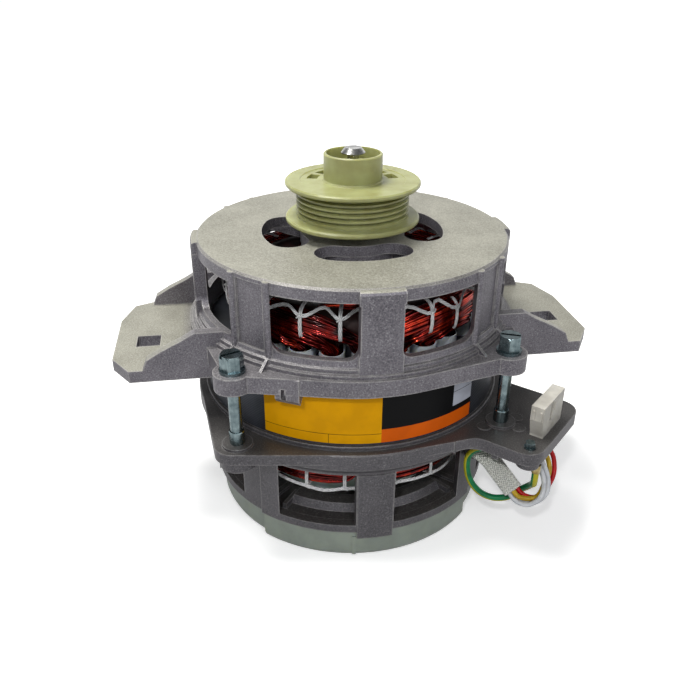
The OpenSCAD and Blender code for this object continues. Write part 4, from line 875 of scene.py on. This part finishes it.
def lay_floor():
    """Pale matt paper sweep. The eye sees its lit part as plain white and the motor's shadow as grey.
    As a large sweep lit only round the motor it throws less light back than its white would."""
    material, tree, shader, place = new_finish("white_paper_floor", Roughness=0.95, Specular_IOR_Level=0.0,
                                               Emission_Color=(1.0, 1.0, 1.0, 1.0))
    path = put(tree, "ShaderNodeLightPath")
    paper = put(tree, "ShaderNodeMix", {"Factor": path.outputs["Is Camera Ray"], "A": hue("#a0a0a0"),
                                        "B": hue("#f0f0f0")}, data_type="RGBA")
    seen = put(tree, "ShaderNodeMath", {0: path.outputs["Is Camera Ray"], 1: path.outputs["Is Glossy Ray"]},
               operation="MAXIMUM")
    seen = put(tree, "ShaderNodeMath", {0: seen, 1: path.outputs["Is Transmission Ray"]}, operation="MAXIMUM")
    # the lamps fall off towards the edges, so the paper's own white takes over there
    far = put(tree, "ShaderNodeVectorMath", {0: place}, operation="LENGTH")
    share = put(tree, "ShaderNodeMapRange", {"Value": far.outputs["Value"], "From Min": WHITE_FROM,
                                             "From Max": WHITE_FULL, "To Min": 0.42, "To Max": 0.8})
    own = put(tree, "ShaderNodeMath", {0: seen, 1: share}, operation="MULTIPLY")
    feed(tree, shader, {"Base Color": paper, "Emission Strength": own})
    corners = [(x * FLOOR_HALF, y * FLOOR_HALF, 0.0) for x, y in ((-1, -1), (1, -1), (1, 1), (-1, 1))]
    mesh = bpy.data.meshes.new("floor")
    mesh.from_pydata(corners, [], [(0, 1, 2, 3)])
    mesh.materials.append(material)
    new_piece("floor", mesh)


def paint_room():
    """White to the eye and to low reflections, as the sweep is, and a dim room above and all round."""
    world = bpy.data.worlds.new("room")
    bpy.context.scene.world = world
    world.use_nodes = True
    tree = world.node_tree
    tree.nodes.clear()
    path = put(tree, "ShaderNodeLightPath")
    height = put(tree, "ShaderNodeSeparateXYZ",
                 {"Vector": put(tree, "ShaderNodeTexCoord").outputs["Generated"]})
    sweep = put(tree, "ShaderNodeMapRange", {"Value": height.outputs["Z"], "From Min": 0.5, "From Max": 0.3})
    mirrored = put(tree, "ShaderNodeMath", {0: path.outputs["Is Glossy Ray"], 1: sweep}, operation="MULTIPLY")
    seen = put(tree, "ShaderNodeMath", {0: path.outputs["Is Camera Ray"], 1: mirrored}, operation="MAXIMUM")
    seen = put(tree, "ShaderNodeMath", {0: seen, 1: path.outputs["Is Transmission Ray"]}, operation="MAXIMUM")
    white = put(tree, "ShaderNodeBackground", {"Color": (1.0, 1.0, 1.0, 1.0), "Strength": 1.0})
    dim = put(tree, "ShaderNodeBackground", {"Color": (0.96, 0.98, 1.0, 1.0), "Strength": 0.26})
    room = put(tree, "ShaderNodeMixShader", {0: seen, 1: dim, 2: white})
    put(tree, "ShaderNodeOutputWorld", {"Surface": room})


# name: place and size in metres, power in watts, tint
LAMPS = {
    "overhead_box": ((-0.32, 0.12, 1.15), (0.55, 0.45), 16.0, (1.0, 0.99, 0.96)),
    "front_fill": ((0.3, -1.05, 0.75), (0.4, 0.4), 3.2, (0.97, 0.98, 1.0)),
    "glint_lamp": ((-0.3, -0.7, 0.75), (0.05, 0.05), 2.6, (1.0, 1.0, 1.0)),
}
LAMP_TARGET = Vector((0.0, 0.0, 0.08))


def hang_lamps():
    """A soft box overhead, a weak fill from the front right and a small lamp for the glints."""
    for name, (at, size, power, tint) in LAMPS.items():
        lamp = bpy.data.lights.new(name, "AREA")
        lamp.shape = "RECTANGLE"
        lamp.size, lamp.size_y = size
        lamp.energy = power
        lamp.color = tint
        box = new_piece(name, lamp)
        box.location = at
        box.rotation_euler = (LAMP_TARGET - Vector(at)).to_track_quat("-Z", "Y").to_euler()


lay_floor()
paint_room()
hang_lamps()
bpy.context.scene.view_settings.view_transform = "Standard"
